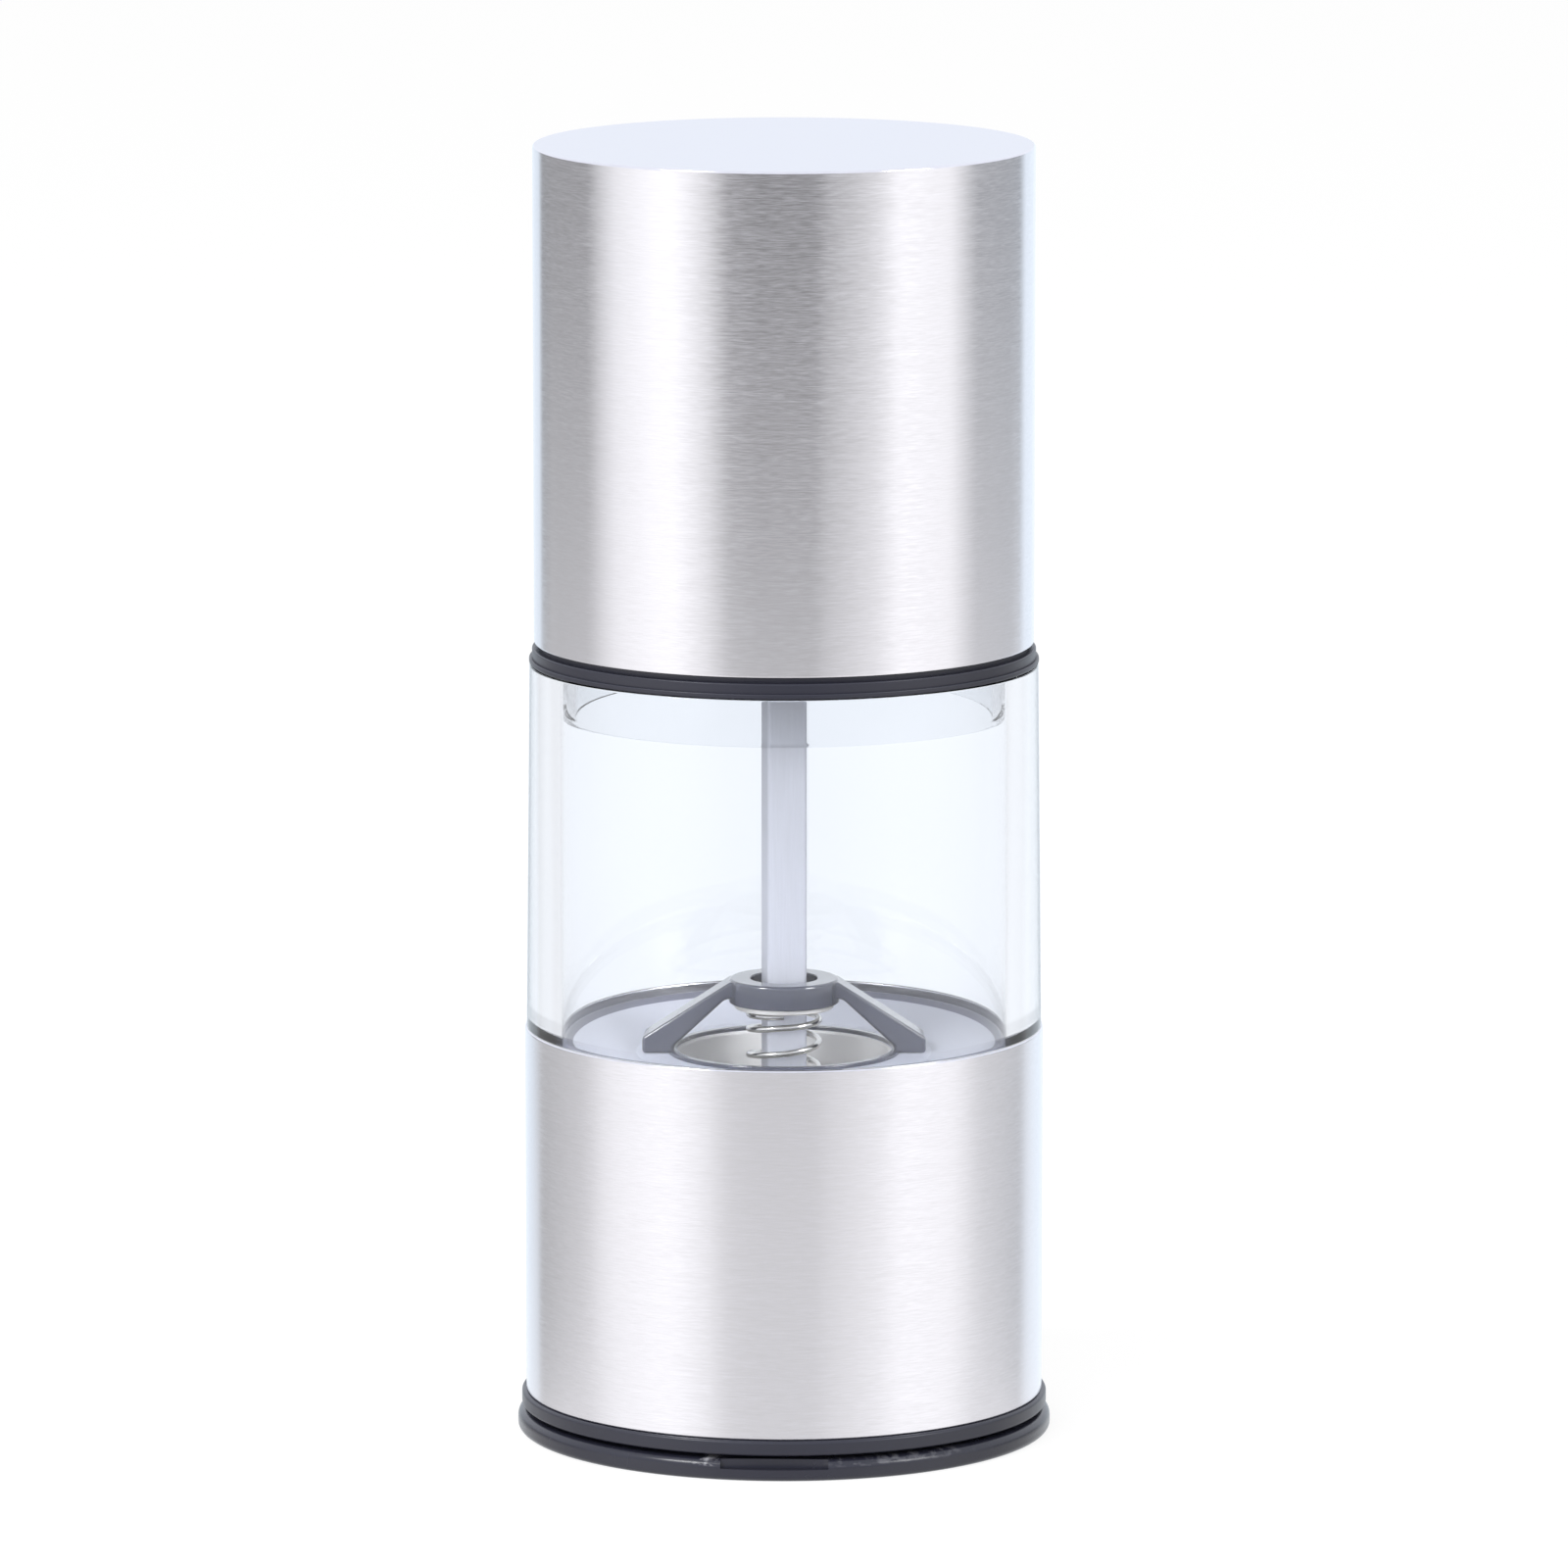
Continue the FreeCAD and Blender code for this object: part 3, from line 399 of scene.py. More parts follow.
def winding_tree():
    """Winds a wire about Z, with one turn of another pitch at each end."""
    tree, given = new_tree("Wound Wire", {
        "Coil Radius": "Float", "Wire Radius": "Float", "Low": "Float", "High": "Float",
        "End Pitch": "Float", "Open Turns": "Float", "Top Angle": "Float",
        "Points per Turn": "Int", "Sides": "Int", "Material": "Material"})
    turns = maths(tree, "ADD", given["Open Turns"], 2.0)
    steps = maths(tree, "MULTIPLY", turns, given["Points per Turn"])
    line = add_node(tree, "GeometryNodeMeshLine", {"Count": maths(tree, "ADD", steps, 1.0)}).outputs[0]
    index = add_node(tree, "GeometryNodeInputIndex").outputs[0]
    turned = maths(tree, "DIVIDE", index, given["Points per Turn"])
    opened = add_node(tree, "ShaderNodeClamp", {
        "Value": maths(tree, "SUBTRACT", turned, 1.0), "Min": 0.0, "Max": given["Open Turns"]}).outputs[0]
    rise = maths(tree, "SUBTRACT", given["High"], given["Low"])
    open_rise = maths(tree, "SUBTRACT", rise, maths(tree, "MULTIPLY", given["End Pitch"], 2.0))
    pitch = maths(tree, "DIVIDE", open_rise, given["Open Turns"])
    ends = maths(tree, "MULTIPLY", maths(tree, "SUBTRACT", turned, opened), given["End Pitch"])
    height = maths(tree, "ADD", maths(tree, "ADD", given["Low"], ends),
                   maths(tree, "MULTIPLY", opened, pitch))
    angle = maths(tree, "ADD", given["Top Angle"],
                  maths(tree, "MULTIPLY", maths(tree, "SUBTRACT", turned, turns), 2 * math.pi))
    place = vector(tree, maths(tree, "MULTIPLY", given["Coil Radius"], maths(tree, "COSINE", angle)),
                   maths(tree, "MULTIPLY", given["Coil Radius"], maths(tree, "SINE", angle)), height)
    moved = add_node(tree, "GeometryNodeSetPosition", {"Geometry": line, "Position": place}).outputs[0]
    curve = add_node(tree, "GeometryNodeMeshToCurve", {"Mesh": moved}).outputs[0]
    level = add_node(tree, "GeometryNodeSetCurveNormal", {"Curve": curve}, mode="Z_UP").outputs[0]
    section = add_node(tree, "GeometryNodeCurvePrimitiveCircle", {
        "Resolution": given["Sides"], "Radius": given["Wire Radius"]}).outputs[0]
    wire = add_node(tree, "GeometryNodeCurveToMesh", {
        "Curve": level, "Profile Curve": section, "Fill Caps": True}).outputs[0]
    return close_tree(tree, wire, given["Material"])


def ring_tree():
    """Repeats one piece evenly about Z."""
    tree, given = new_tree("Ring of Pieces", {
        "Piece": "Geometry", "Count": "Int", "First Angle": "Float", "Material": "Material"})
    line = add_node(tree, "GeometryNodeMeshLine", {
        "Count": given["Count"], "Offset": (0.0, 0.0, 0.0)}).outputs[0]
    index = add_node(tree, "GeometryNodeInputIndex").outputs[0]
    step = maths(tree, "DIVIDE", 2 * math.pi, given["Count"])
    angle = maths(tree, "ADD", given["First Angle"], maths(tree, "MULTIPLY", index, step))
    rotation = add_node(tree, "FunctionNodeEulerToRotation", {0: vector(tree, 0.0, 0.0, angle)}).outputs[0]
    copies = add_node(tree, "GeometryNodeInstanceOnPoints", {
        "Points": line, "Instance": given["Piece"], "Rotation": rotation}).outputs[0]
    return close_tree(tree, copies, given["Material"])


# Meshes

def show(name, mesh):
    """New object at the origin."""
    piece = bpy.data.objects.new(name, mesh)
    bpy.context.scene.collection.objects.link(piece)
    return piece


def settle(piece):
    """Turns what the modifiers make into the piece's plain mesh."""
    shown = piece.evaluated_get(bpy.context.evaluated_depsgraph_get())
    mesh = bpy.data.meshes.new_from_object(shown)
    piece.modifiers.clear()
    piece.data = mesh
    return piece


def grow(name, tree, source=None, **values):
    """Plain mesh piece that a geometry tree makes from its named inputs."""
    piece = show(name, source or bpy.data.meshes.new(name))
    modifier = piece.modifiers.new(tree.name, "NODES")
    modifier.node_group = tree
    for socket in tree.interface.items_tree:
        value = values.get(socket.name.replace(" ", "_").lower())
        if socket.in_out == "INPUT" and value is not None:
            modifier[socket.identifier] = value
    settle(piece)
    piece.data.materials.clear()
    piece.data.materials.append(values["material"])
    return piece


def smooth_off(mesh):
    """Joins doubles, turns the faces outwards and keeps only steep edges crisp."""
    work = bmesh.new()
    work.from_mesh(mesh)
    bmesh.ops.remove_doubles(work, verts=work.verts, dist=MERGE)
    bmesh.ops.recalc_face_normals(work, faces=work.faces)
    work.to_mesh(mesh)
    work.free()
    mesh.shade_smooth()
    mesh.set_sharp_from_angle(angle=SHARP)


def rounded(corners):
    """Points through (radius, height, rounding) corners, with an arc at each rounded one."""
    points = []
    for index, corner in enumerate(corners):
        rounding = corner[2] if len(corner) > 2 else 0.0
        here = Vector(corner[:2])
        back = Vector(corners[index - 1][:2]) - here
        ahead = Vector(corners[(index + 1) % len(corners)][:2]) - here
        if rounding == 0.0:
            points.append(here)
            continue
        half = back.angle(ahead) / 2
        reach = min(rounding / math.tan(half), CORNER_SHARE * min(back.length, ahead.length))
        start = here + back.normalized() * reach
        stop = here + ahead.normalized() * reach
        centre = here + (back.normalized() + ahead.normalized()).normalized() * (reach / math.cos(half))
        first = (start - centre).normalized()
        last = (stop - centre).normalized()
        points.append(start + back.normalized() * GUARD)
        for step in range(ARC_STEPS + 1):
            points.append(centre + first.slerp(last, step / ARC_STEPS) * (start - centre).length)
        points.append(stop + ahead.normalized() * GUARD)
    return points


def turned(name, corners, sides, finish):
    """Piece turned about Z from a closed outline of (radius, height, rounding) corners."""
    points = rounded(corners)
    if corners[0][0] > 0:
        points.append(points[0])
    outline = bpy.data.meshes.new(name)
    outline.from_pydata([(point.x, 0.0, point.y) for point in points], [], [])
    piece = grow(name, bpy.data.node_groups["Turned Piece"], outline, sides=sides, material=finish)
    smooth_off(piece.data)
    return piece


def round_off(piece, width, finish):
    """Rounds the crisp edges of a piece, keeps its faces flat and paints it."""
    piece.data.shade_smooth()
    bevel = piece.modifiers.new("Rounded Edges", "BEVEL")
    bevel.width = width
    bevel.segments = BEVEL_STEPS
    bevel.limit_method = "ANGLE"
    bevel.angle_limit = SHARP
    bevel.harden_normals = True
    settle(piece)
    piece.data.materials.append(finish)
    return piece


def softened(node, width, finish):
    """Copy of a CAD node with its crisp edges rounded off."""
    source = frame["nodes"][node].data
    mesh = bpy.data.meshes.new(node + "_finished")
    faces = [tuple(face.vertices) for face in source.polygons]
    mesh.from_pydata([point.co for point in source.vertices], [], faces)
    work = bmesh.new()
    work.from_mesh(mesh)
    bmesh.ops.remove_doubles(work, verts=work.verts, dist=MERGE)
    bmesh.ops.dissolve_limit(work, angle_limit=FLAT, verts=work.verts, edges=work.edges)
    work.to_mesh(mesh)
    work.free()
    return round_off(show(node + "_finished", mesh), width, finish)


def stacked(name, sections):
    """Closed mesh through sections of equal point counts, from the bottom up."""
    work = bmesh.new()
    rings = [[work.verts.new(point) for point in section] for section in sections]
    for low, high in zip(rings, rings[1:]):
        for side in range(len(low)):
            work.faces.new((low[side - 1], low[side], high[side], high[side - 1]))
    work.faces.new(rings[0][::-1])
    work.faces.new(rings[-1])
    mesh = bpy.data.meshes.new(name)
    work.to_mesh(mesh)
    work.free()
    return mesh


def prism(name, corners, width, edge, finish):
    """Piece drawn as (x, z) corners and drawn out along Y, with its edges rounded off."""
    sides = [[(x, y, z) for x, z in corners] for y in (-width / 2, width / 2)]
    piece = show(name, stacked(name, sides))
    smooth_off(piece.data)
    return round_off(piece, edge, finish)


def block(low, high, turn=0.0):
    """Box between two corners, turned about Z."""
    place = Matrix.Rotation(turn, 3, "Z")
    corners = [(low[0], low[1]), (high[0], low[1]), (high[0], high[1]), (low[0], high[1])]
    return stacked("block", [
        [place @ Vector((x, y, z)) for x, y in corners] for z in (low[2], high[2])])


def post(across, radius, low, high, turn):
    """Round rod upright beside Z, turned about it."""
    place = Matrix.Rotation(turn, 3, "Z")
    steps = [2 * math.pi * step / ROUND_STEPS for step in range(ROUND_STEPS)]
    return stacked("post", [
        [place @ Vector((across + radius * math.cos(step), radius * math.sin(step), z)) for step in steps]
        for z in (low, high)])


def carve(piece, cutter):
    """Cuts a mesh out of a piece."""
    tool = show("cutter", cutter)
    cut = piece.modifiers.new("Recess", "BOOLEAN")
    cut.operation = "DIFFERENCE"
    cut.object = tool
    settle(piece)
    bpy.data.objects.remove(tool)


def join(piece, other):
    """Takes another piece's mesh into this one, in its own finish."""
    work = bmesh.new()
    work.from_mesh(piece.data)
    work.from_mesh(other.data)
    work.to_mesh(piece.data)
    work.free()
    bpy.data.objects.remove(other)


# Places on the frame

def radius_of(node):
    """Outside radius of a CAD node about Z."""
    low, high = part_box(node)
    return max(high.x, high.y, -low.x, -low.y)


def low_of(node):
    """Lowest level of a CAD node."""
    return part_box(node)[0].z


def high_of(node):
    """Highest level of a CAD node."""
    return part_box(node)[1].z


def stand_for(piece, node):
    """Lets a finished piece stand for a CAD node and move with its body."""
    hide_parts(node)
    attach(piece, BODY_OF[node])


def dress(node, finish):
    """Gives a CAD node that stays its finish."""
    frame["nodes"][node].material_slots[0].material = finish


# Materials

def new_material(name):
    """Material with its tree, its shader and the place on the piece."""
    material = bpy.data.materials.new(name)
    material.use_nodes = True
    tree = material.node_tree
    place = add_node(tree, "ShaderNodeTexCoord").outputs["Object"]
    return material, tree, tree.nodes["Principled BSDF"], place


def set_shader(shader, **values):
    """Sets even values on the shader's own sockets."""
    for name, value in values.items():
        shader.inputs[name.replace("_", " ").title().replace("Ior", "IOR")].default_value = value


def link(tree, value, shader, name):
    """Leads a changing value to one socket of the shader."""
    tree.links.new(value, shader.inputs[name])


def uneven_gloss(tree, shader, pattern, roughness, smoother=0.05, rougher=0.05):
    """Roughness that changes a little with a pattern."""
    link(tree, between(tree, pattern, roughness - smoother, roughness + rougher), shader, "Roughness")


def relief(tree, shader, height, strength, depth):
    """Fine surface relief."""
    bump = add_node(tree, "ShaderNodeBump", {"Height": height, "Strength": strength, "Distance": depth})
    link(tree, bump.outputs[0], shader, "Normal")


def brush_lines(tree, place, shorten, scale, detail):
    """Pattern of lines that run round Z on walls and on flat tops."""
    x, y, z = axes(tree, place)
    across = maths(tree, "ADD", z, span(tree, vector(tree, x, y, 0.0)))
    drawn = vector(tree, maths(tree, "MULTIPLY", x, shorten), maths(tree, "MULTIPLY", y, shorten), across)
    return noise(tree, drawn, scale, detail)


def brushed_steel(name, colour, roughness, stretch):
    """Stainless steel with fine brush lines that run round the axis."""
    material, tree, shader, place = new_material(name)
    set_shader(shader, metallic=1.0, anisotropic=stretch, anisotropic_rotation=0.25)
    fine = brush_lines(tree, place, shorten=0.08, scale=9000.0, detail=3.0)
    broad = brush_lines(tree, place, shorten=0.06, scale=2600.0, detail=2.0)
    fine_share = 0.7
    both = maths(tree, "ADD", maths(tree, "MULTIPLY", fine, fine_share),
                 maths(tree, "MULTIPLY", broad, 1.0 - fine_share))
    upward = 0.9
    top_calm = 0.85
    facing = axes(tree, add_node(tree, "ShaderNodeNewGeometry").outputs["True Normal"])[2]
    flat_top = maths(tree, "GREATER_THAN", facing, upward)
    both = mixed(tree, maths(tree, "MULTIPLY", flat_top, top_calm), both, (0.5, 0.5, 0.5, 1.0))
    link(tree, uneven_tone(tree, both, colour, darker=0.87, lighter=1.12), shader, "Base Color")
    uneven_gloss(tree, shader, both, roughness, rougher=0.07)
    relief(tree, shader, both, strength=0.2, depth=0.004 * MM)
    round_axis = add_node(tree, "ShaderNodeTangent", direction_type="RADIAL", axis="Z").outputs[0]
    tangent = add_node(tree, "ShaderNodeMix", {
        0: flat_top, 4: round_axis, 5: (1.0, 0.0, 0.0)}, data_type="VECTOR").outputs[1]
    link(tree, tangent, shader, "Tangent")
    return material


def moulded(name, colour, roughness, grain=0.15, mottle=0.08, polish=0.0):
    """Moulded plastic with a fine grain and slightly uneven gloss."""
    material, tree, shader, place = new_material(name)
    set_shader(shader, ior=PLASTIC_INDEX, coat_weight=polish, coat_roughness=0.08)
    broad = noise(tree, place, CLOUD, detail=3.0)
    tone = uneven_tone(tree, broad, colour, darker=1.0 - mottle, lighter=1.0 + mottle)
    link(tree, tone, shader, "Base Color")
    uneven_gloss(tree, shader, broad, roughness)
    relief(tree, shader, noise(tree, place, GRAIN, detail=3.0), strength=grain, depth=0.01 * MM)
    return material


def three_tone_painted_light(name, colour, inner, radius, rim, level):
    """Smooth moulding, of another colour inside a radius from Z and of a third above a level: the paler
    inner colour is painted light where little light reaches, and the dark third colour is painted shade.
    """
    material, tree, shader, place = new_material(name)
    set_shader(shader, ior=PLASTIC_INDEX)
    x, y, z = axes(tree, place)
    reach = span(tree, vector(tree, x, y, 0.0))
    # paler inside the radius: painted light in the throat
    outside = between(tree, reach, 0.0, 1.0, from_low=radius - 0.25 * MM, from_high=radius - 0.15 * MM)
    broad = noise(tree, place, CLOUD, detail=3.0)
    tone = uneven_tone(tree, broad, colour, darker=0.97, lighter=1.03)
    # dark above the level: painted shade on the rim
    tone = mixed(tree, maths(tree, "GREATER_THAN", z, level), tone, shaded(rim))
    link(tree, mixed(tree, outside, shaded(inner), tone), shader, "Base Color")
    uneven_gloss(tree, shader, broad, 0.38, smoother=0.04, rougher=0.04)
    relief(tree, shader, noise(tree, place, GRAIN, detail=3.0), strength=0.06, depth=0.01 * MM)
    return material


def nicked_plastic(name, colour, nick, roughness, rim):
    """Moulded plastic with pale nicks on its upper edge, in two places where it has been knocked."""
    material, tree, shader, place = new_material(name)
    set_shader(shader, ior=PLASTIC_INDEX)
    fine = noise(tree, place, GRAIN, detail=3.0)
    broad = noise(tree, place, CLOUD, detail=3.0)
    x, y, z = axes(tree, place)
    angle = maths(tree, "DEGREES", maths(tree, "ARCTAN2", x, maths(tree, "MULTIPLY", y, -1.0)))
    worn = stretch_of(tree, angle, start=-20.0, full=-19.0, fading=-15.0, end=-14.0)
    rubbed = stretch_of(tree, angle, start=8.0, full=14.0, fading=36.0, end=46.0)
    rub = 0.2
    places = maths(tree, "MAXIMUM", worn, maths(tree, "MULTIPLY", rubbed, rub))
    edge = between(tree, z, 0.0, 1.0, from_low=rim - 0.75 * MM, from_high=rim - 0.5 * MM)
    degree_step = 0.3 * MM
    flatten = 1.5
    along = vector(tree, maths(tree, "MULTIPLY", angle, degree_step),
                   maths(tree, "MULTIPLY", z, flatten), 0.0)
    specks = noise(tree, along, scale=1300.0, detail=3.0)
    spots = between(tree, specks, 0.0, 1.0, from_low=0.48, from_high=0.64)
    nicks = maths(tree, "MULTIPLY", spots, maths(tree, "MULTIPLY", edge, places))
    tone = uneven_tone(tree, broad, colour, darker=0.92, lighter=1.08)
    link(tree, mixed(tree, nicks, tone, shaded(nick)), shader, "Base Color")
    uneven_gloss(tree, shader, broad, roughness)
    relief(tree, shader, maths(tree, "SUBTRACT", fine, nicks), strength=0.2, depth=0.012 * MM)
    return material


def clear_acrylic(name, colour, index):
    """Thick clear acrylic with the faint waves of its mould."""
    material, tree, shader, place = new_material(name)
    set_shader(shader, transmission_weight=1.0, ior=index)
    waves = noise(tree, place, scale=90.0, detail=1.0)
    link(tree, uneven_tone(tree, waves, colour, darker=0.99, lighter=1.0), shader, "Base Color")
    link(tree, between(tree, noise(tree, place, scale=700.0), low=0.0, high=0.012), shader, "Roughness")
    relief(tree, shader, waves, strength=0.05, depth=0.02 * MM)
    return material


def cloudy_plastic(name, colour, index, murk):
    """Undyed plastic that lets light through and darkens where it is seen edge on."""
    material, tree, shader, place = new_material(name)
    set_shader(shader, transmission_weight=1.0, ior=index)
    cloud = noise(tree, place, scale=220.0, detail=3.0)
    link(tree, uneven_tone(tree, cloud, colour, darker=0.97, lighter=1.02), shader, "Base Color")
    link(tree, between(tree, cloud, low=0.02, high=0.06), shader, "Roughness")
    depth = add_node(tree, "ShaderNodeVolumeAbsorption", {"Color": (0.5, 0.49, 0.5, 1.0), "Density": murk})
    tree.links.new(depth.outputs[0], tree.nodes["Material Output"].inputs["Volume"])
    return material


def drawn_metal(name, colour, roughness, stretch=1.0, bare=1.0):
    """Metal with a fine grain, drawn out along Z by a small stretch; less bare under a matt coat."""
    material, tree, shader, place = new_material(name)
    set_shader(shader, metallic=bare)
    x, y, z = axes(tree, place)
    along = vector(tree, x, y, maths(tree, "MULTIPLY", z, stretch))
    lines = noise(tree, along, scale=7000.0, detail=3.0)
    link(tree, uneven_tone(tree, lines, colour, darker=0.93, lighter=1.05), shader, "Base Color")
    uneven_gloss(tree, shader, lines, roughness, rougher=0.07)
    relief(tree, shader, lines, strength=0.12, depth=0.006 * MM)
    return material


def burr_ceramic(name, colour):
    """Matt fired ceramic with a fine speckle."""
    material, tree, shader, place = new_material(name)
    set_shader(shader, ior=1.6)
    grain = noise(tree, place, scale=5200.0, detail=4.0)
    cloud = noise(tree, place, scale=260.0, detail=3.0)
    speckle = between(tree, grain, low=0.0, high=0.35, from_low=0.62, from_high=0.75)
    tone = uneven_tone(tree, cloud, colour, darker=0.95, lighter=1.04)
    link(tree, mixed(tree, speckle, tone, shaded(colour, brightness=0.72)), shader, "Base Color")
    uneven_gloss(tree, shader, cloud, 0.5, smoother=0.08, rougher=0.08)
    relief(tree, shader, grain, strength=0.3, depth=0.02 * MM)
    return material


# Pieces

class MILL_OT_trees(bpy.types.Operator):
    """Builds the geometry trees that turn, wind and repeat the pieces"""

    bl_idname = "mill.trees"
    bl_label = "Geometry Trees"

    def execute(self, context):
        turning_tree()
        winding_tree()
        ring_tree()
        return {"FINISHED"}


class MILL_OT_steel(bpy.types.Operator):
    """Makes the brushed steel cap and lower sleeve"""

    bl_idname = "mill.steel"
    bl_label = "Steel Cap and Sleeve"

    def execute(self, context):
        scene = context.scene
        steel = scene.mill_steel
        cap_finish = brushed_steel("brushed_cap", steel.colour, steel.cap_roughness, steel.cap_stretch)
        radius = radius_of("cap_shell")
        top = high_of("cap_shell")
        bottom = low_of("cap_shell")
        cap = turned("steel_cap", [
            (0.0, top),
            (radius, top, steel.top_edge),
            (radius, bottom, steel.hem),
            (radius - steel.sheet, bottom, steel.hem),
            (radius - steel.sheet, top - steel.sheet, steel.hem),
            (0.0, top - steel.sheet),
        ], steel.sides, cap_finish)
        stand_for(cap, "cap_shell")
        sleeve_finish = brushed_steel("brushed_sleeve", steel.colour, steel.sleeve_roughness,
                                      steel.sleeve_stretch)
        radius = radius_of("lower_sleeve")
        top = high_of("lower_sleeve")
        bottom = low_of("lower_sleeve")
        sleeve = turned("steel_sleeve", [
            (radius - steel.sheet, bottom, steel.hem),
            (radius, bottom, steel.hem),
            (radius, top, steel.hem),
            (radius - steel.sheet, top, steel.hem),
        ], steel.sides, sleeve_finish)
        stand_for(sleeve, "lower_sleeve")
        return {"FINISHED"}


class MILL_OT_cap_inside(bpy.types.Operator):
    """Makes the black cap ring and finishes the liner and its leaf"""

    bl_idname = "mill.cap_inside"
    bl_label = "Cap Ring and Liner"

    def execute(self, context):
        scene = context.scene
        steel = scene.mill_steel
        moulding = scene.mill_moulding
        lip = radius_of("cap_ring")
        low = low_of("cap_ring")
        band_top = low_of("cap_shell") - moulding.groove
        spigot = radius_of("cap_shell") - steel.sheet - moulding.fit
        inside = spigot - moulding.spigot_wall
        ring = turned("cap_ring_moulding", [
            (inside - moulding.ledge_width, low),
            (lip, low, moulding.edge),
            (lip, low + moulding.lip_height, moulding.edge),
            (lip - moulding.band_step, low + moulding.lip_height),
            (lip - moulding.band_step, band_top, moulding.edge),
            (spigot, band_top),
            (spigot, high_of("cap_ring"), moulding.edge),
            (inside, high_of("cap_ring")),
            (inside, low + moulding.ledge_rise),
            (inside - moulding.ledge_width, low + moulding.ledge_rise),
        ], steel.sides, moulded("black_cap_ring", moulding.black, roughness=0.36))
        stand_for(ring, "cap_ring")
        dress("cap_liner", cloudy_plastic("undyed_liner", moulding.natural, moulding.natural_index,
                                          moulding.natural_murk))
        dress("shaft_grip", drawn_metal("leaf_steel", scene.mill_drive.spring, roughness=0.25, stretch=0.05))
        return {"FINISHED"}


class MILL_OT_jar(bpy.types.Operator):
    """Makes the clear jar and finishes its seal"""

    bl_idname = "mill.jar"
    bl_label = "Jar and Seal"

    def execute(self, context):
        scene = context.scene
        settings = scene.mill_jar
        moulding = scene.mill_moulding
        foot = radius_of("jar")
        rim = foot - settings.draft
        bore = rim - settings.wall
        shoulder = high_of("lower_sleeve")
        spigot = radius_of("lower_sleeve") - scene.mill_steel.sheet - moulding.fit
        jar = turned("clear_jar", [
            (bore, high_of("jar"), settings.rim_edge),
            (rim, high_of("jar"), settings.rim_edge),
            (foot, shoulder),
            (spigot, shoulder),
            (spigot, low_of("jar"), moulding.edge),
            (bore, low_of("jar"), moulding.edge),
        ], scene.mill_steel.sides, clear_acrylic("clear_acrylic", settings.colour, settings.index))
        stand_for(jar, "jar")
        dress("jar_seal", moulded("grey_silicone", moulding.silicone, roughness=0.55))
        return {"FINISHED"}


class MILL_OT_hopper(bpy.types.Operator):
    """Finishes the hopper floor and makes the bridge over it"""

    bl_idname = "mill.hopper"
    bl_label = "Hopper Floor and Bridge"

    def execute(self, context):
        scene = context.scene
        moulding = scene.mill_moulding
        settings = scene.mill_bridge
        sides = scene.mill_steel.sides
        throat = settings.foot_reach - settings.foot_length
        # the floor's material paints light inside the throat radius and shade on the rim above the rim level
        dress("hopper_floor", three_tone_painted_light("pale_floor", settings.floor, settings.throat, throat,
                                         settings.rim, settings.shaded_rim_level))
        finish = moulded("grey_bridge", settings.grey, roughness=0.22, grain=0.04, polish=1.0)
        top = high_of("bridge")
        low = top - settings.hub_height
        recess = settings.hub_radius - settings.hub_wall
        bridge = turned("grey_bridge", [
            (settings.hub_bore, low),
            (settings.hub_radius, low, moulding.edge),
            (settings.hub_radius, top, settings.edge),
            (recess, top, moulding.edge),
            (recess, top - settings.clip_recess),
            (settings.hub_bore, top - settings.clip_recess),
        ], sides, finish)
        floor = settings.floor_level
        hoop_side = settings.hoop_radius + settings.hoop_width
        join(bridge, turned("hoop", [
            (settings.hoop_radius, floor),
            (hoop_side, floor),
            (hoop_side, floor + settings.hoop_height, moulding.edge),
            (settings.hoop_radius, floor + settings.hoop_height, moulding.edge),
        ], sides, finish))
        arm_in = recess + settings.hub_wall / 3     # arms end inside the hub's wall
        toe = floor + settings.toe_height
        barb_out = radius_of("bridge")
        tab_out = settings.foot_reach - moulding.edge
        tab_in = tab_out - settings.tab_thickness
        tab_low = low_of("bridge")
        barb_top = tab_low + settings.barb_height
        arm = [
            (arm_in, top - moulding.edge), (settings.hub_radius - moulding.edge, top - moulding.edge),
            (settings.foot_reach, toe), (settings.foot_reach, floor), (throat, floor),
            (throat, floor + settings.arch),
            (settings.hub_radius + 2 * moulding.edge, low + settings.arch - moulding.edge),
            (arm_in, low + settings.arch - moulding.edge),
        ]
        tab = [
            (tab_in, toe - settings.toe_height / 2), (tab_out, toe - settings.toe_height / 2),
            (tab_out, barb_top), (barb_out, barb_top), (tab_out, tab_low), (tab_in, tab_low),
        ]
        for side in (1, -1):
            join(bridge, prism("arm", [(side * x, z) for x, z in arm], settings.arm_width,
                               settings.edge, finish))
            join(bridge, prism("tab", [(side * x, z) for x, z in tab], settings.tab_width, 0.0, finish))
        stand_for(bridge, "bridge")
        return {"FINISHED"}


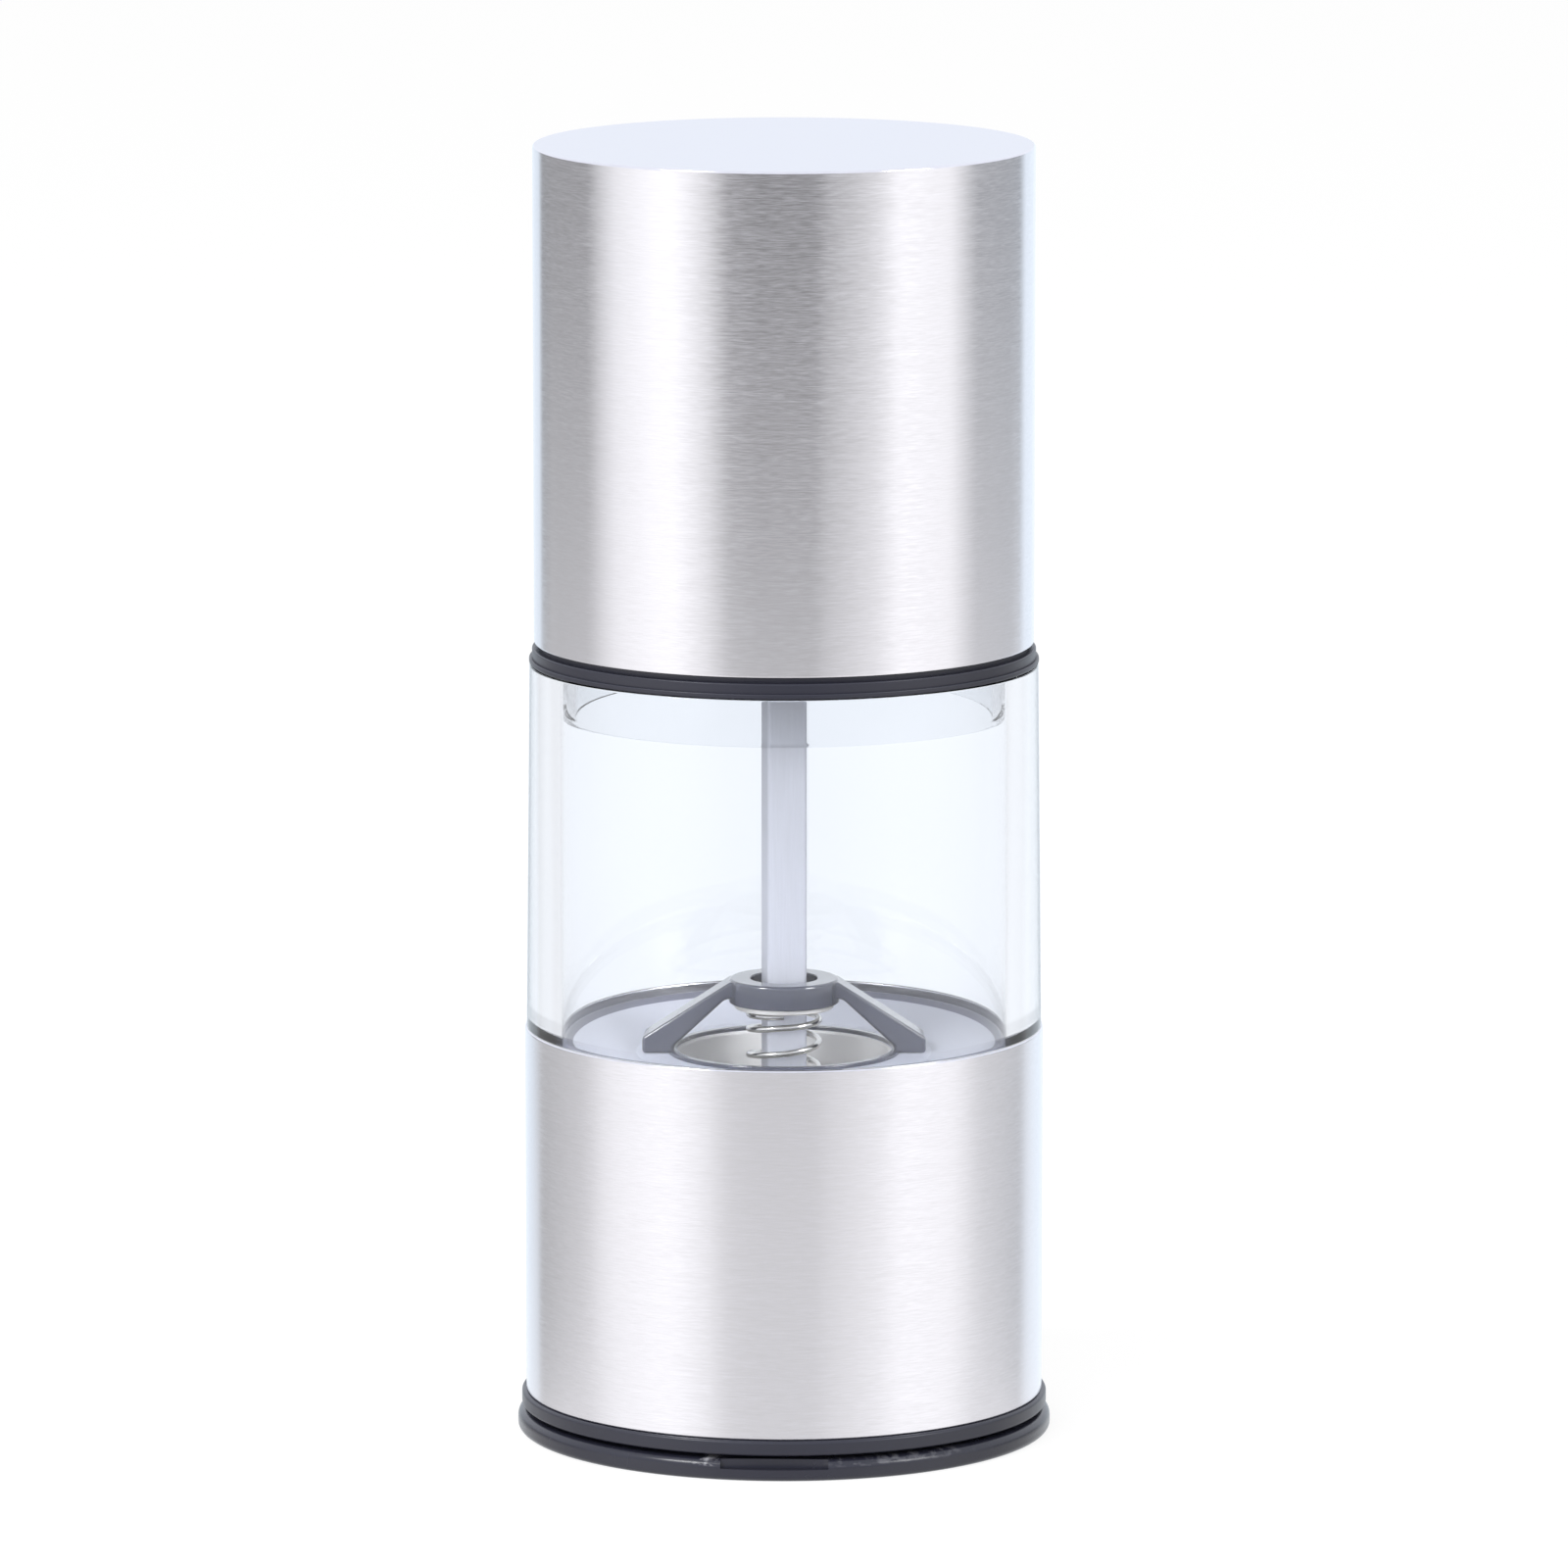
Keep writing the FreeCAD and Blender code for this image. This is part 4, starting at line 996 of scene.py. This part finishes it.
class MILL_OT_shaft(bpy.types.Operator):
    """Makes the square shaft with its thread and finishes its clip and washers"""

    bl_idname = "mill.shaft"
    bl_label = "Shaft"

    def execute(self, context):
        scene = context.scene
        drive = scene.mill_drive
        finish = drawn_metal("satin_shaft", drive.shaft, roughness=0.5, stretch=0.03, bare=0.15)
        half = drive.shaft_side / 2
        inner = half - drive.shaft_edge
        corner = inner * math.sqrt(2) + drive.shaft_edge
        section = []
        for quarter in range(4):
            centre_angle = math.pi / 4 + quarter * math.pi / 2 + drive.shaft_turn
            for step in range(ARC_STEPS + 1):
                angle = centre_angle + (step / ARC_STEPS - 0.5) * math.pi / 2
                section.append((
                    inner * math.sqrt(2) * math.cos(centre_angle) + drive.shaft_edge * math.cos(angle),
                    inner * math.sqrt(2) * math.sin(centre_angle) + drive.shaft_edge * math.sin(angle),
                ))
        low = low_of("drive_shaft")
        high = high_of("drive_shaft")
        square_low = low + drive.threaded
        groove_low = low_of("shaft_clip") - drive.clip_play
        groove_high = high_of("shaft_clip") + drive.clip_play
        groove = half - drive.groove_depth
        root = half - 2 * drive.thread_ridge
        levels = [
            (low, root - drive.thread_ridge),
            (low + drive.thread_ridge, root),
            (square_low, root),
            (square_low, corner),
            (groove_low, corner),
            (groove_low, groove),
            (groove_high, groove),
            (groove_high, corner),
            (high - drive.shaft_tip, corner),
            (high, corner - drive.shaft_tip),
        ]
        sections = []
        for height, limit in levels:
            shrink = [min(1.0, limit / math.hypot(x, y)) for x, y in section]
            sections.append([(x * s, y * s, height) for (x, y), s in zip(section, shrink)])
        shaft = show("square_shaft", stacked("square_shaft", sections))
        shaft.data.materials.append(finish)
        thread = grow(
            "thread", bpy.data.node_groups["Wound Wire"], coil_radius=root, wire_radius=drive.thread_ridge,
            low=low + drive.thread_pitch, high=square_low, end_pitch=drive.thread_pitch,
            open_turns=(drive.threaded - drive.thread_pitch) / drive.thread_pitch - 2.0,
            top_angle=0.0, points_per_turn=36, sides=4, material=finish)
        join(shaft, thread)
        smooth_off(shaft.data)
        stand_for(shaft, "drive_shaft")
        bright = drawn_metal("bright_steel", drive.spring, roughness=0.2)
        dress("shaft_clip", bright)
        dress("spring_seat", bright)
        dress("thrust_washer", drawn_metal("pale_washer", drive.washer, roughness=0.35, bare=0.5))
        return {"FINISHED"}


class MILL_OT_spring(bpy.types.Operator):
    """Winds the spring between the bridge and the rotor"""

    bl_idname = "mill.spring"
    bl_label = "Spring"

    def execute(self, context):
        scene = context.scene
        drive = scene.mill_drive
        half = drive.wire / 2
        low = low_of("burr_spring")
        high = high_of("burr_spring")
        spring = grow(
            "wound_spring", bpy.data.node_groups["Wound Wire"],
            coil_radius=radius_of("burr_spring") - half, wire_radius=half,
            low=low + half, high=high - half, end_pitch=drive.end_pitch, open_turns=drive.open_turns,
            top_angle=drive.top_angle, points_per_turn=48, sides=16,
            material=drawn_metal("spring_wire", drive.spring, roughness=0.16))
        smooth_off(spring.data)
        stand_for(spring, "burr_spring")
        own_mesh(spring)
        return {"FINISHED"}


class MILL_OT_burrs(bpy.types.Operator):
    """Finishes the two burrs, the rotor core, the fineness knob and its nut"""

    bl_idname = "mill.burrs"
    bl_label = "Burrs and Knob"

    def execute(self, context):
        scene = context.scene
        drive = scene.mill_drive
        moulding = scene.mill_moulding
        ceramic = burr_ceramic("fired_ceramic", drive.ceramic)
        dress("rotor_burr", ceramic)
        dress("stator_burr", ceramic)
        dress("rotor_core", moulded("pale_core", moulding.pale, roughness=0.45))
        finishes = {
            "adjuster_knob": moulded("black_knob", moulding.black, roughness=0.42),
            "adjuster_nut": drawn_metal("turned_brass", drive.brass, roughness=0.3),
        }
        for node, finish in finishes.items():
            stand_for(softened(node, moulding.edge, finish), node)
        return {"FINISHED"}


class MILL_OT_base(bpy.types.Operator):
    """Makes the base housing and the dust cap"""

    bl_idname = "mill.base"
    bl_label = "Base and Dust Cap"

    def execute(self, context):
        scene = context.scene
        settings = scene.mill_base
        moulding = scene.mill_moulding
        self.make_housing(scene, settings, moulded("black_base", moulding.black, roughness=0.34))
        self.make_lid(scene, settings, nicked_plastic("black_dust_cap", moulding.black, moulding.nick,
                                                      roughness=0.25, rim=settings.rim_height))
        return {"FINISHED"}

    def make_housing(self, scene, settings, finish):
        """Base ring, outlet, web with screw holes, collar with keyways and skirt."""
        fit = scene.mill_moulding.fit
        drive = scene.mill_drive
        edge = settings.edge
        low = low_of("base_housing")
        step = low_of("lower_sleeve")
        ring = radius_of("base_housing")
        skirt = radius_of("lower_sleeve") - scene.mill_steel.sheet - fit
        web_top = settings.web_low + settings.web
        collar_top = web_top + settings.collar_height
        collar_out = settings.collar + settings.collar_wall
        housing = turned("black_base", [
            (skirt - settings.wall, low, edge),
            (ring, low, edge),
            (ring, step, edge),
            (skirt, step),
            (skirt, high_of("base_housing")),
            (skirt - settings.skirt_wall, high_of("base_housing")),
            (skirt - settings.skirt_wall, web_top, 2 * edge),
            (collar_out, web_top, 2 * edge),
            (collar_out, collar_top),
            (settings.collar, collar_top),
            (settings.collar, web_top),
            (settings.seat, web_top),
            (settings.seat, settings.web_low),
            (skirt - settings.wall, settings.web_low, 2 * edge),
        ], scene.mill_steel.sides, finish)
        across = radius_of("base_screws") - drive.screw_head
        for index in range(drive.screw_count):
            angle = math.pi / 2 + 2 * math.pi * index / drive.screw_count
            hole = post(across, drive.screw_shank + fit, settings.web_low - edge, web_top + edge, angle)
            carve(housing, hole)
        half = settings.key_width / 2
        for index in range(settings.key_count):
            angle = settings.key_turn + 2 * math.pi * index / settings.key_count
            carve(housing, block((settings.collar - edge, -half, web_top + settings.key_rise),
                                 (collar_out + edge, half, collar_top + edge), angle))
        smooth_off(housing.data)
        stand_for(housing, "base_housing")

    def make_lid(self, scene, settings, finish):
        """Foot ring, rounded rim with a finger notch, and a plug up into the outlet."""
        edge = settings.edge
        radius = radius_of("dust_cap")
        low = low_of("dust_cap")
        high = high_of("dust_cap")
        rim = low + settings.rim_height
        outlet = radius_of("lower_sleeve") - scene.mill_steel.sheet - scene.mill_moulding.fit - settings.wall
        plug = outlet - settings.lid_play
        lid_top = low + settings.foot_recess + settings.lid_floor
        lid = turned("black_dust_cap", [
            (0.0, low + settings.foot_recess),
            (settings.foot, low + settings.foot_recess, edge),
            (settings.foot, low, edge),
            (radius, low, 2 * edge),
            (radius, rim, settings.rim_edge),
            (plug, rim),
            (plug, high, edge),
            (plug - settings.plug_wall, high, edge),
            (plug - settings.plug_wall, lid_top, 2 * edge),
            (0.0, lid_top),
        ], scene.mill_steel.sides, finish)
        half = settings.notch_width / 2
        carve(lid, block((-half, -radius - settings.notch_depth, rim - settings.notch_height),
                         (half, -radius + settings.notch_depth, rim + settings.notch_height),
                         settings.notch_turn))
        smooth_off(lid.data)
        stand_for(lid, "dust_cap")


class MILL_OT_screws(bpy.types.Operator):
    """Makes the screws under the base, with crossed recesses"""

    bl_idname = "mill.screws"
    bl_label = "Base Screws"

    def execute(self, context):
        scene = context.scene
        drive = scene.mill_drive
        finish = drawn_metal("zinc_screws", drive.spring, roughness=0.3)
        low = low_of("base_screws")
        high = high_of("base_screws")
        head_top = low + drive.screw_head_height
        rounding = 0.4          # of the head's height and of the shank
        reach = 0.6             # of the head, for the recess
        narrow = 0.7            # bottom of the recess, of its mouth
        screw = turned("base_screw", [
            (0.0, low),
            (drive.screw_head, low, rounding * drive.screw_head_height),
            (drive.screw_head, head_top),
            (drive.screw_shank, head_top),
            (drive.screw_shank, high, rounding * drive.screw_shank),
            (0.0, high),
        ], ROUND_STEPS, finish)
        half = drive.screw_cross / 2
        arm = reach * drive.screw_head
        cross = [(arm, -half), (arm, half), (half, half), (half, arm), (-half, arm), (-half, half),
                 (-arm, half), (-arm, -half), (-half, -half), (-half, -arm), (half, -arm), (half, -half)]
        depth = reach * drive.screw_head_height
        carve(screw, stacked("cross", [
            [(x, y, low - depth) for x, y in cross],
            [(x, y, low) for x, y in cross],
            [(x * narrow, y * narrow, low + depth) for x, y in cross],
        ]))
        place = radius_of("base_screws") - drive.screw_head
        for point in screw.data.vertices:
            point.co.x += place
        screws = grow("cross_screws", bpy.data.node_groups["Ring of Pieces"], screw.data.copy(),
                      count=drive.screw_count, first_angle=math.pi / 2, material=finish)
        bpy.data.objects.remove(screw)
        smooth_off(screws.data)
        stand_for(screws, "base_screws")
        return {"FINISHED"}


# Stage

# What the metal reflects: (degrees from the camera's side, brightness, blueness), clockwise from behind
STUDIO_BANDS = (
    (-180.0, 0.88, 0.28), (-168.0, 0.80, 0.28), (-153.0, 0.78, 0.28), (-147.0, 0.26, 0.06),
    (-102.0, 0.24, 0.03), (-94.0, 0.52, 0.02), (-84.0, 0.79, 0.02), (-62.0, 1.0, 0.0),
    (-52.0, 1.0, 0.0), (-36.0, 0.62, 0.0), (-25.0, 0.19, 0.0), (-12.0, 0.115, 0.0),
    (14.0, 0.115, 0.0), (20.0, 0.27, 0.0), (44.0, 0.62, 0.0), (54.0, 0.88, 0.0),
    (82.0, 0.88, 0.0), (100.0, 0.33, 0.10), (138.0, 0.33, 0.20), (146.0, 0.84, 0.28),
    (180.0, 0.88, 0.28),
)
NARROWED = (-11.0, -8.5)        # degrees of elevation between which the bands widen to their full width
NARROWING = 1.06                # how much narrower they are at the lower one
OVERHEAD = (4.0, 10.0)          # degrees of elevation between which the bands give way to an even ceiling
CEILING = (0.78, 0.81, 0.88, 1.0)
BACKDROP = (0.765, 0.78, 0.81, 1.0)     # what the clear pieces let through
BACKDROP_SHARE = 0.85           # of it against the bands
WHITE = (1.0, 1.0, 1.0, 1.0)
BLUENESS = (0.6, 0.3)           # how much red and green a fully blue band loses
LAMPS = (
    # name, place in metres, size in metres, whether it shows in what shines
    ("key_lamp", (-0.866, -0.636, 1.075), 0.35, True),
    ("fill_lamp", (1.0, -0.55, 0.7), 0.4, True),
    ("front_lamp", (-0.45, -1.27, 0.22), 0.9, False),
)


class MILL_OT_stage(bpy.types.Operator):
    """Sets the floor, the studio light and the camera"""

    bl_idname = "mill.stage"
    bl_label = "Stage"

    def execute(self, context):
        scene = context.scene
        stage = scene.mill_stage
        scene.view_settings.view_transform = "Standard"
        self.set_floor(stage)
        self.set_world(scene, stage)
        self.set_lamps(stage)
        self.set_camera(scene, stage)
        return {"FINISHED"}

    def set_floor(self, stage):
        """Pale floor that keeps the mill's shadow."""
        material = bpy.data.materials.new("studio_floor")
        material.use_nodes = True
        tree = material.node_tree
        tree.nodes.clear()
        rays = add_node(tree, "ShaderNodeLightPath").outputs
        paper = add_node(tree, "ShaderNodeBsdfDiffuse", {"Color": shaded(stage.floor)}).outputs[0]
        shadow_paper = shaded(stage.floor, brightness=0.3)
        faint = add_node(tree, "ShaderNodeBsdfDiffuse", {"Color": shadow_paper}).outputs[0]
        glow = add_node(tree, "ShaderNodeEmission", {"Strength": 0.86}).outputs[0]
        seen = add_node(tree, "ShaderNodeAddShader", {0: glow, 1: faint}).outputs[0]
        shown = blend(tree, rays["Is Camera Ray"], paper, seen)
        white = add_node(tree, "ShaderNodeEmission", {"Strength": 0.9 * stage.studio}).outputs[0]
        clear = add_node(tree, "ShaderNodeBsdfTransparent").outputs[0]
        mirrored = blend(tree, self.mirrored_share(tree), clear, white)
        behind = blend(tree, rays["Is Transmission Ray"], mirrored, clear)
        indirect = maths(tree, "MAXIMUM", rays["Is Glossy Ray"], rays["Is Transmission Ray"])
        add_node(tree, "ShaderNodeOutputMaterial", {"Surface": blend(tree, indirect, shown, behind)})
        work = bmesh.new()
        bmesh.ops.create_circle(work, cap_ends=True, segments=stage.sides, radius=stage.floor_reach)
        bmesh.ops.translate(work, verts=work.verts, vec=(0.0, 0.0, -GUARD))
        mesh = bpy.data.meshes.new("studio_floor")
        work.to_mesh(mesh)
        work.free()
        mesh.materials.append(material)
        show("studio_floor", mesh)

    def mirrored_share(self, tree):
        """How much of the floor's white the steel shows, by its distance and side of the mill."""
        place = add_node(tree, "ShaderNodeTexCoord").outputs["Object"]
        reach = span(tree, place)
        backward = maths(tree, "DIVIDE", axes(tree, place)[1], reach)
        to_the_back = {"from_low": -0.2, "from_high": 0.6}
        end = between(tree, backward, low=1.05, high=1.25, **to_the_back)
        back = between(tree, reach, low=0.20, high=0.44, from_low=0.02, from_high=0.5)
        fading = between(tree, reach, low=1.0, high=0.0, from_low=0.4, from_high=end)
        near = maths(tree, "MULTIPLY", fading, between(tree, backward, low=0.66, high=back, **to_the_back))
        straight_back = between(tree, backward, low=1.0, high=0.1, from_low=0.68, from_high=0.86)
        return maths(tree, "MULTIPLY", near, straight_back)

    def set_world(self, scene, stage):
        """White backdrop to the eye, even light, and soft boxes for what shines."""
        world = bpy.data.worlds.new("studio")
        scene.world = world
        world.use_nodes = True
        world.cycles.sampling_method = "NONE"
        tree = world.node_tree
        tree.nodes.clear()
        rays = add_node(tree, "ShaderNodeLightPath").outputs
        way = add_node(tree, "ShaderNodeTexCoord").outputs["Generated"]
        x, y, z = axes(tree, way)
        bands = self.studio_bands(tree, x, y, z)
        boxes = mixed(tree, self.above(tree, z, 0.0, 1.0, OVERHEAD), bands, CEILING)
        through = mixed(tree, BACKDROP_SHARE, bands, BACKDROP)
        lights = ((boxes, stage.studio), (through, stage.studio), (WHITE, stage.ambient), (WHITE, 1.0))
        shine, behind, even, white = [
            add_node(tree, "ShaderNodeBackground", {0: colour, 1: strength}).outputs[0]
            for colour, strength in lights]
        any_depth = 0.5
        inside = maths(tree, "GREATER_THAN", rays["Transmission Depth"], any_depth)
        lit = maths(tree, "GREATER_THAN", rays["Diffuse Depth"], any_depth)
        sent = blend(tree, lit, blend(tree, inside, shine, behind), even)
        add_node(tree, "ShaderNodeOutputWorld", {"Surface": blend(tree, rays["Is Camera Ray"], sent, white)})

    def above(self, tree, rise, low, high, degrees):
        """Number that goes from low to high between two elevations."""
        levels = [math.sin(math.radians(angle)) for angle in degrees]
        return between(tree, rise, low, high, from_low=levels[0], from_high=levels[1])

    def studio_bands(self, tree, x, y, z):
        """Light and dark upright bands round the mill."""
        azimuth = maths(tree, "ARCTAN2", x, maths(tree, "MULTIPLY", y, -1.0))
        widened = maths(tree, "MULTIPLY", azimuth, self.above(tree, z, NARROWING, 1.0, NARROWED))
        round_about = between(tree, widened, 0.0, 1.0, from_low=-math.pi, from_high=math.pi)
        ramp = add_node(tree, "ShaderNodeValToRGB", {0: round_about})
        stops = ramp.color_ramp.elements
        for index, (degrees, brightness, blue) in enumerate(STUDIO_BANDS):
            position = (degrees + 180.0) / 360.0
            stop = stops[index] if index < len(stops) else stops.new(position)
            stop.position = position
            red, green = [brightness * (1 - blue * loss) for loss in BLUENESS]
            stop.color = (red, green, brightness, 1.0)
        return ramp.outputs[0]

    def set_lamps(self, stage):
        """A soft lamp on each side and one beside the camera."""
        target = (cad_low + cad_high) / 2
        clear = self.left_out("clear_pieces", bpy.data.objects["clear_jar"], frame["nodes"]["cap_liner"])
        even = self.left_out("evenly_lit", bpy.data.objects["square_shaft"])
        powers = (stage.key_power, stage.fill_power, stage.front_power)
        for (name, place, size, shines), power in zip(LAMPS, powers):
            data = bpy.data.lights.new(name, "AREA")
            data.shape = "SQUARE"
            data.size = size
            data.energy = power
            lamp = show(name, data)
            lamp.location = place
            lamp.rotation_euler = (target - lamp.location).to_track_quat("-Z", "Y").to_euler()
            lamp.light_linking.blocker_collection = clear
            lamp.visible_glossy = shines
            lamp.visible_transmission = shines
            if shines:
                lamp.light_linking.receiver_collection = even

    def left_out(self, name, *pieces):
        """Pieces that a lamp takes no notice of."""
        group = bpy.data.collections.new(name)
        for piece in pieces:
            group.objects.link(piece)
        for member in group.collection_objects:
            member.light_linking.link_state = "EXCLUDE"
        return group

    def set_camera(self, scene, stage):
        """Camera at the photograph's height and distance."""
        data = bpy.data.cameras.new("studio_camera")
        data.sensor_width = 36.0
        data.lens = stage.lens
        camera = show("studio_camera", data)
        camera.location = (0.0, -stage.distance, stage.height)
        camera.rotation_euler = (math.pi / 2 - stage.tilt, 0.0, 0.0)
        scene.camera = camera


# Add-on

SETTINGS = {
    "mill_steel": MILL_PG_steel,
    "mill_moulding": MILL_PG_moulding,
    "mill_bridge": MILL_PG_bridge,
    "mill_base": MILL_PG_base,
    "mill_jar": MILL_PG_jar,
    "mill_drive": MILL_PG_drive,
    "mill_stage": MILL_PG_stage,
}
OPERATORS = (
    MILL_OT_trees,
    MILL_OT_steel,
    MILL_OT_cap_inside,
    MILL_OT_jar,
    MILL_OT_hopper,
    MILL_OT_shaft,
    MILL_OT_spring,
    MILL_OT_burrs,
    MILL_OT_base,
    MILL_OT_screws,
    MILL_OT_stage,
)


class MILL_PT_panel(bpy.types.Panel):
    """Lists the mill's settings and operators"""

    bl_idname = "MILL_PT_panel"
    bl_label = "Pepper Mill"
    bl_space_type = "VIEW_3D"
    bl_region_type = "UI"
    bl_category = "Pepper Mill"

    def draw(self, context):
        for operator in OPERATORS:
            self.layout.operator(operator.bl_idname)
        for name in SETTINGS:
            group = getattr(context.scene, name)
            column = self.layout.column(heading=name.replace("mill_", "").title())
            for setting in group.bl_rna.properties.keys():
                if setting not in ("rna_type", "name"):
                    column.prop(group, setting)


def register():
    """Makes the classes and settings known to Blender."""
    for name, group in SETTINGS.items():
        bpy.utils.register_class(group)
        setattr(bpy.types.Scene, name, PointerProperty(type=group))
    for operator in OPERATORS:
        bpy.utils.register_class(operator)
    bpy.utils.register_class(MILL_PT_panel)


def unregister():
    """Takes the classes and settings away again."""
    bpy.utils.unregister_class(MILL_PT_panel)
    for operator in reversed(OPERATORS):
        bpy.utils.unregister_class(operator)
    for name, group in SETTINGS.items():
        delattr(bpy.types.Scene, name)
        bpy.utils.unregister_class(group)


def main():
    """Makes every piece and the stage."""
    register()
    for operator in OPERATORS:
        getattr(bpy.ops.mill, operator.bl_idname.split(".")[1])()


if __name__ == "__main__":
    main()
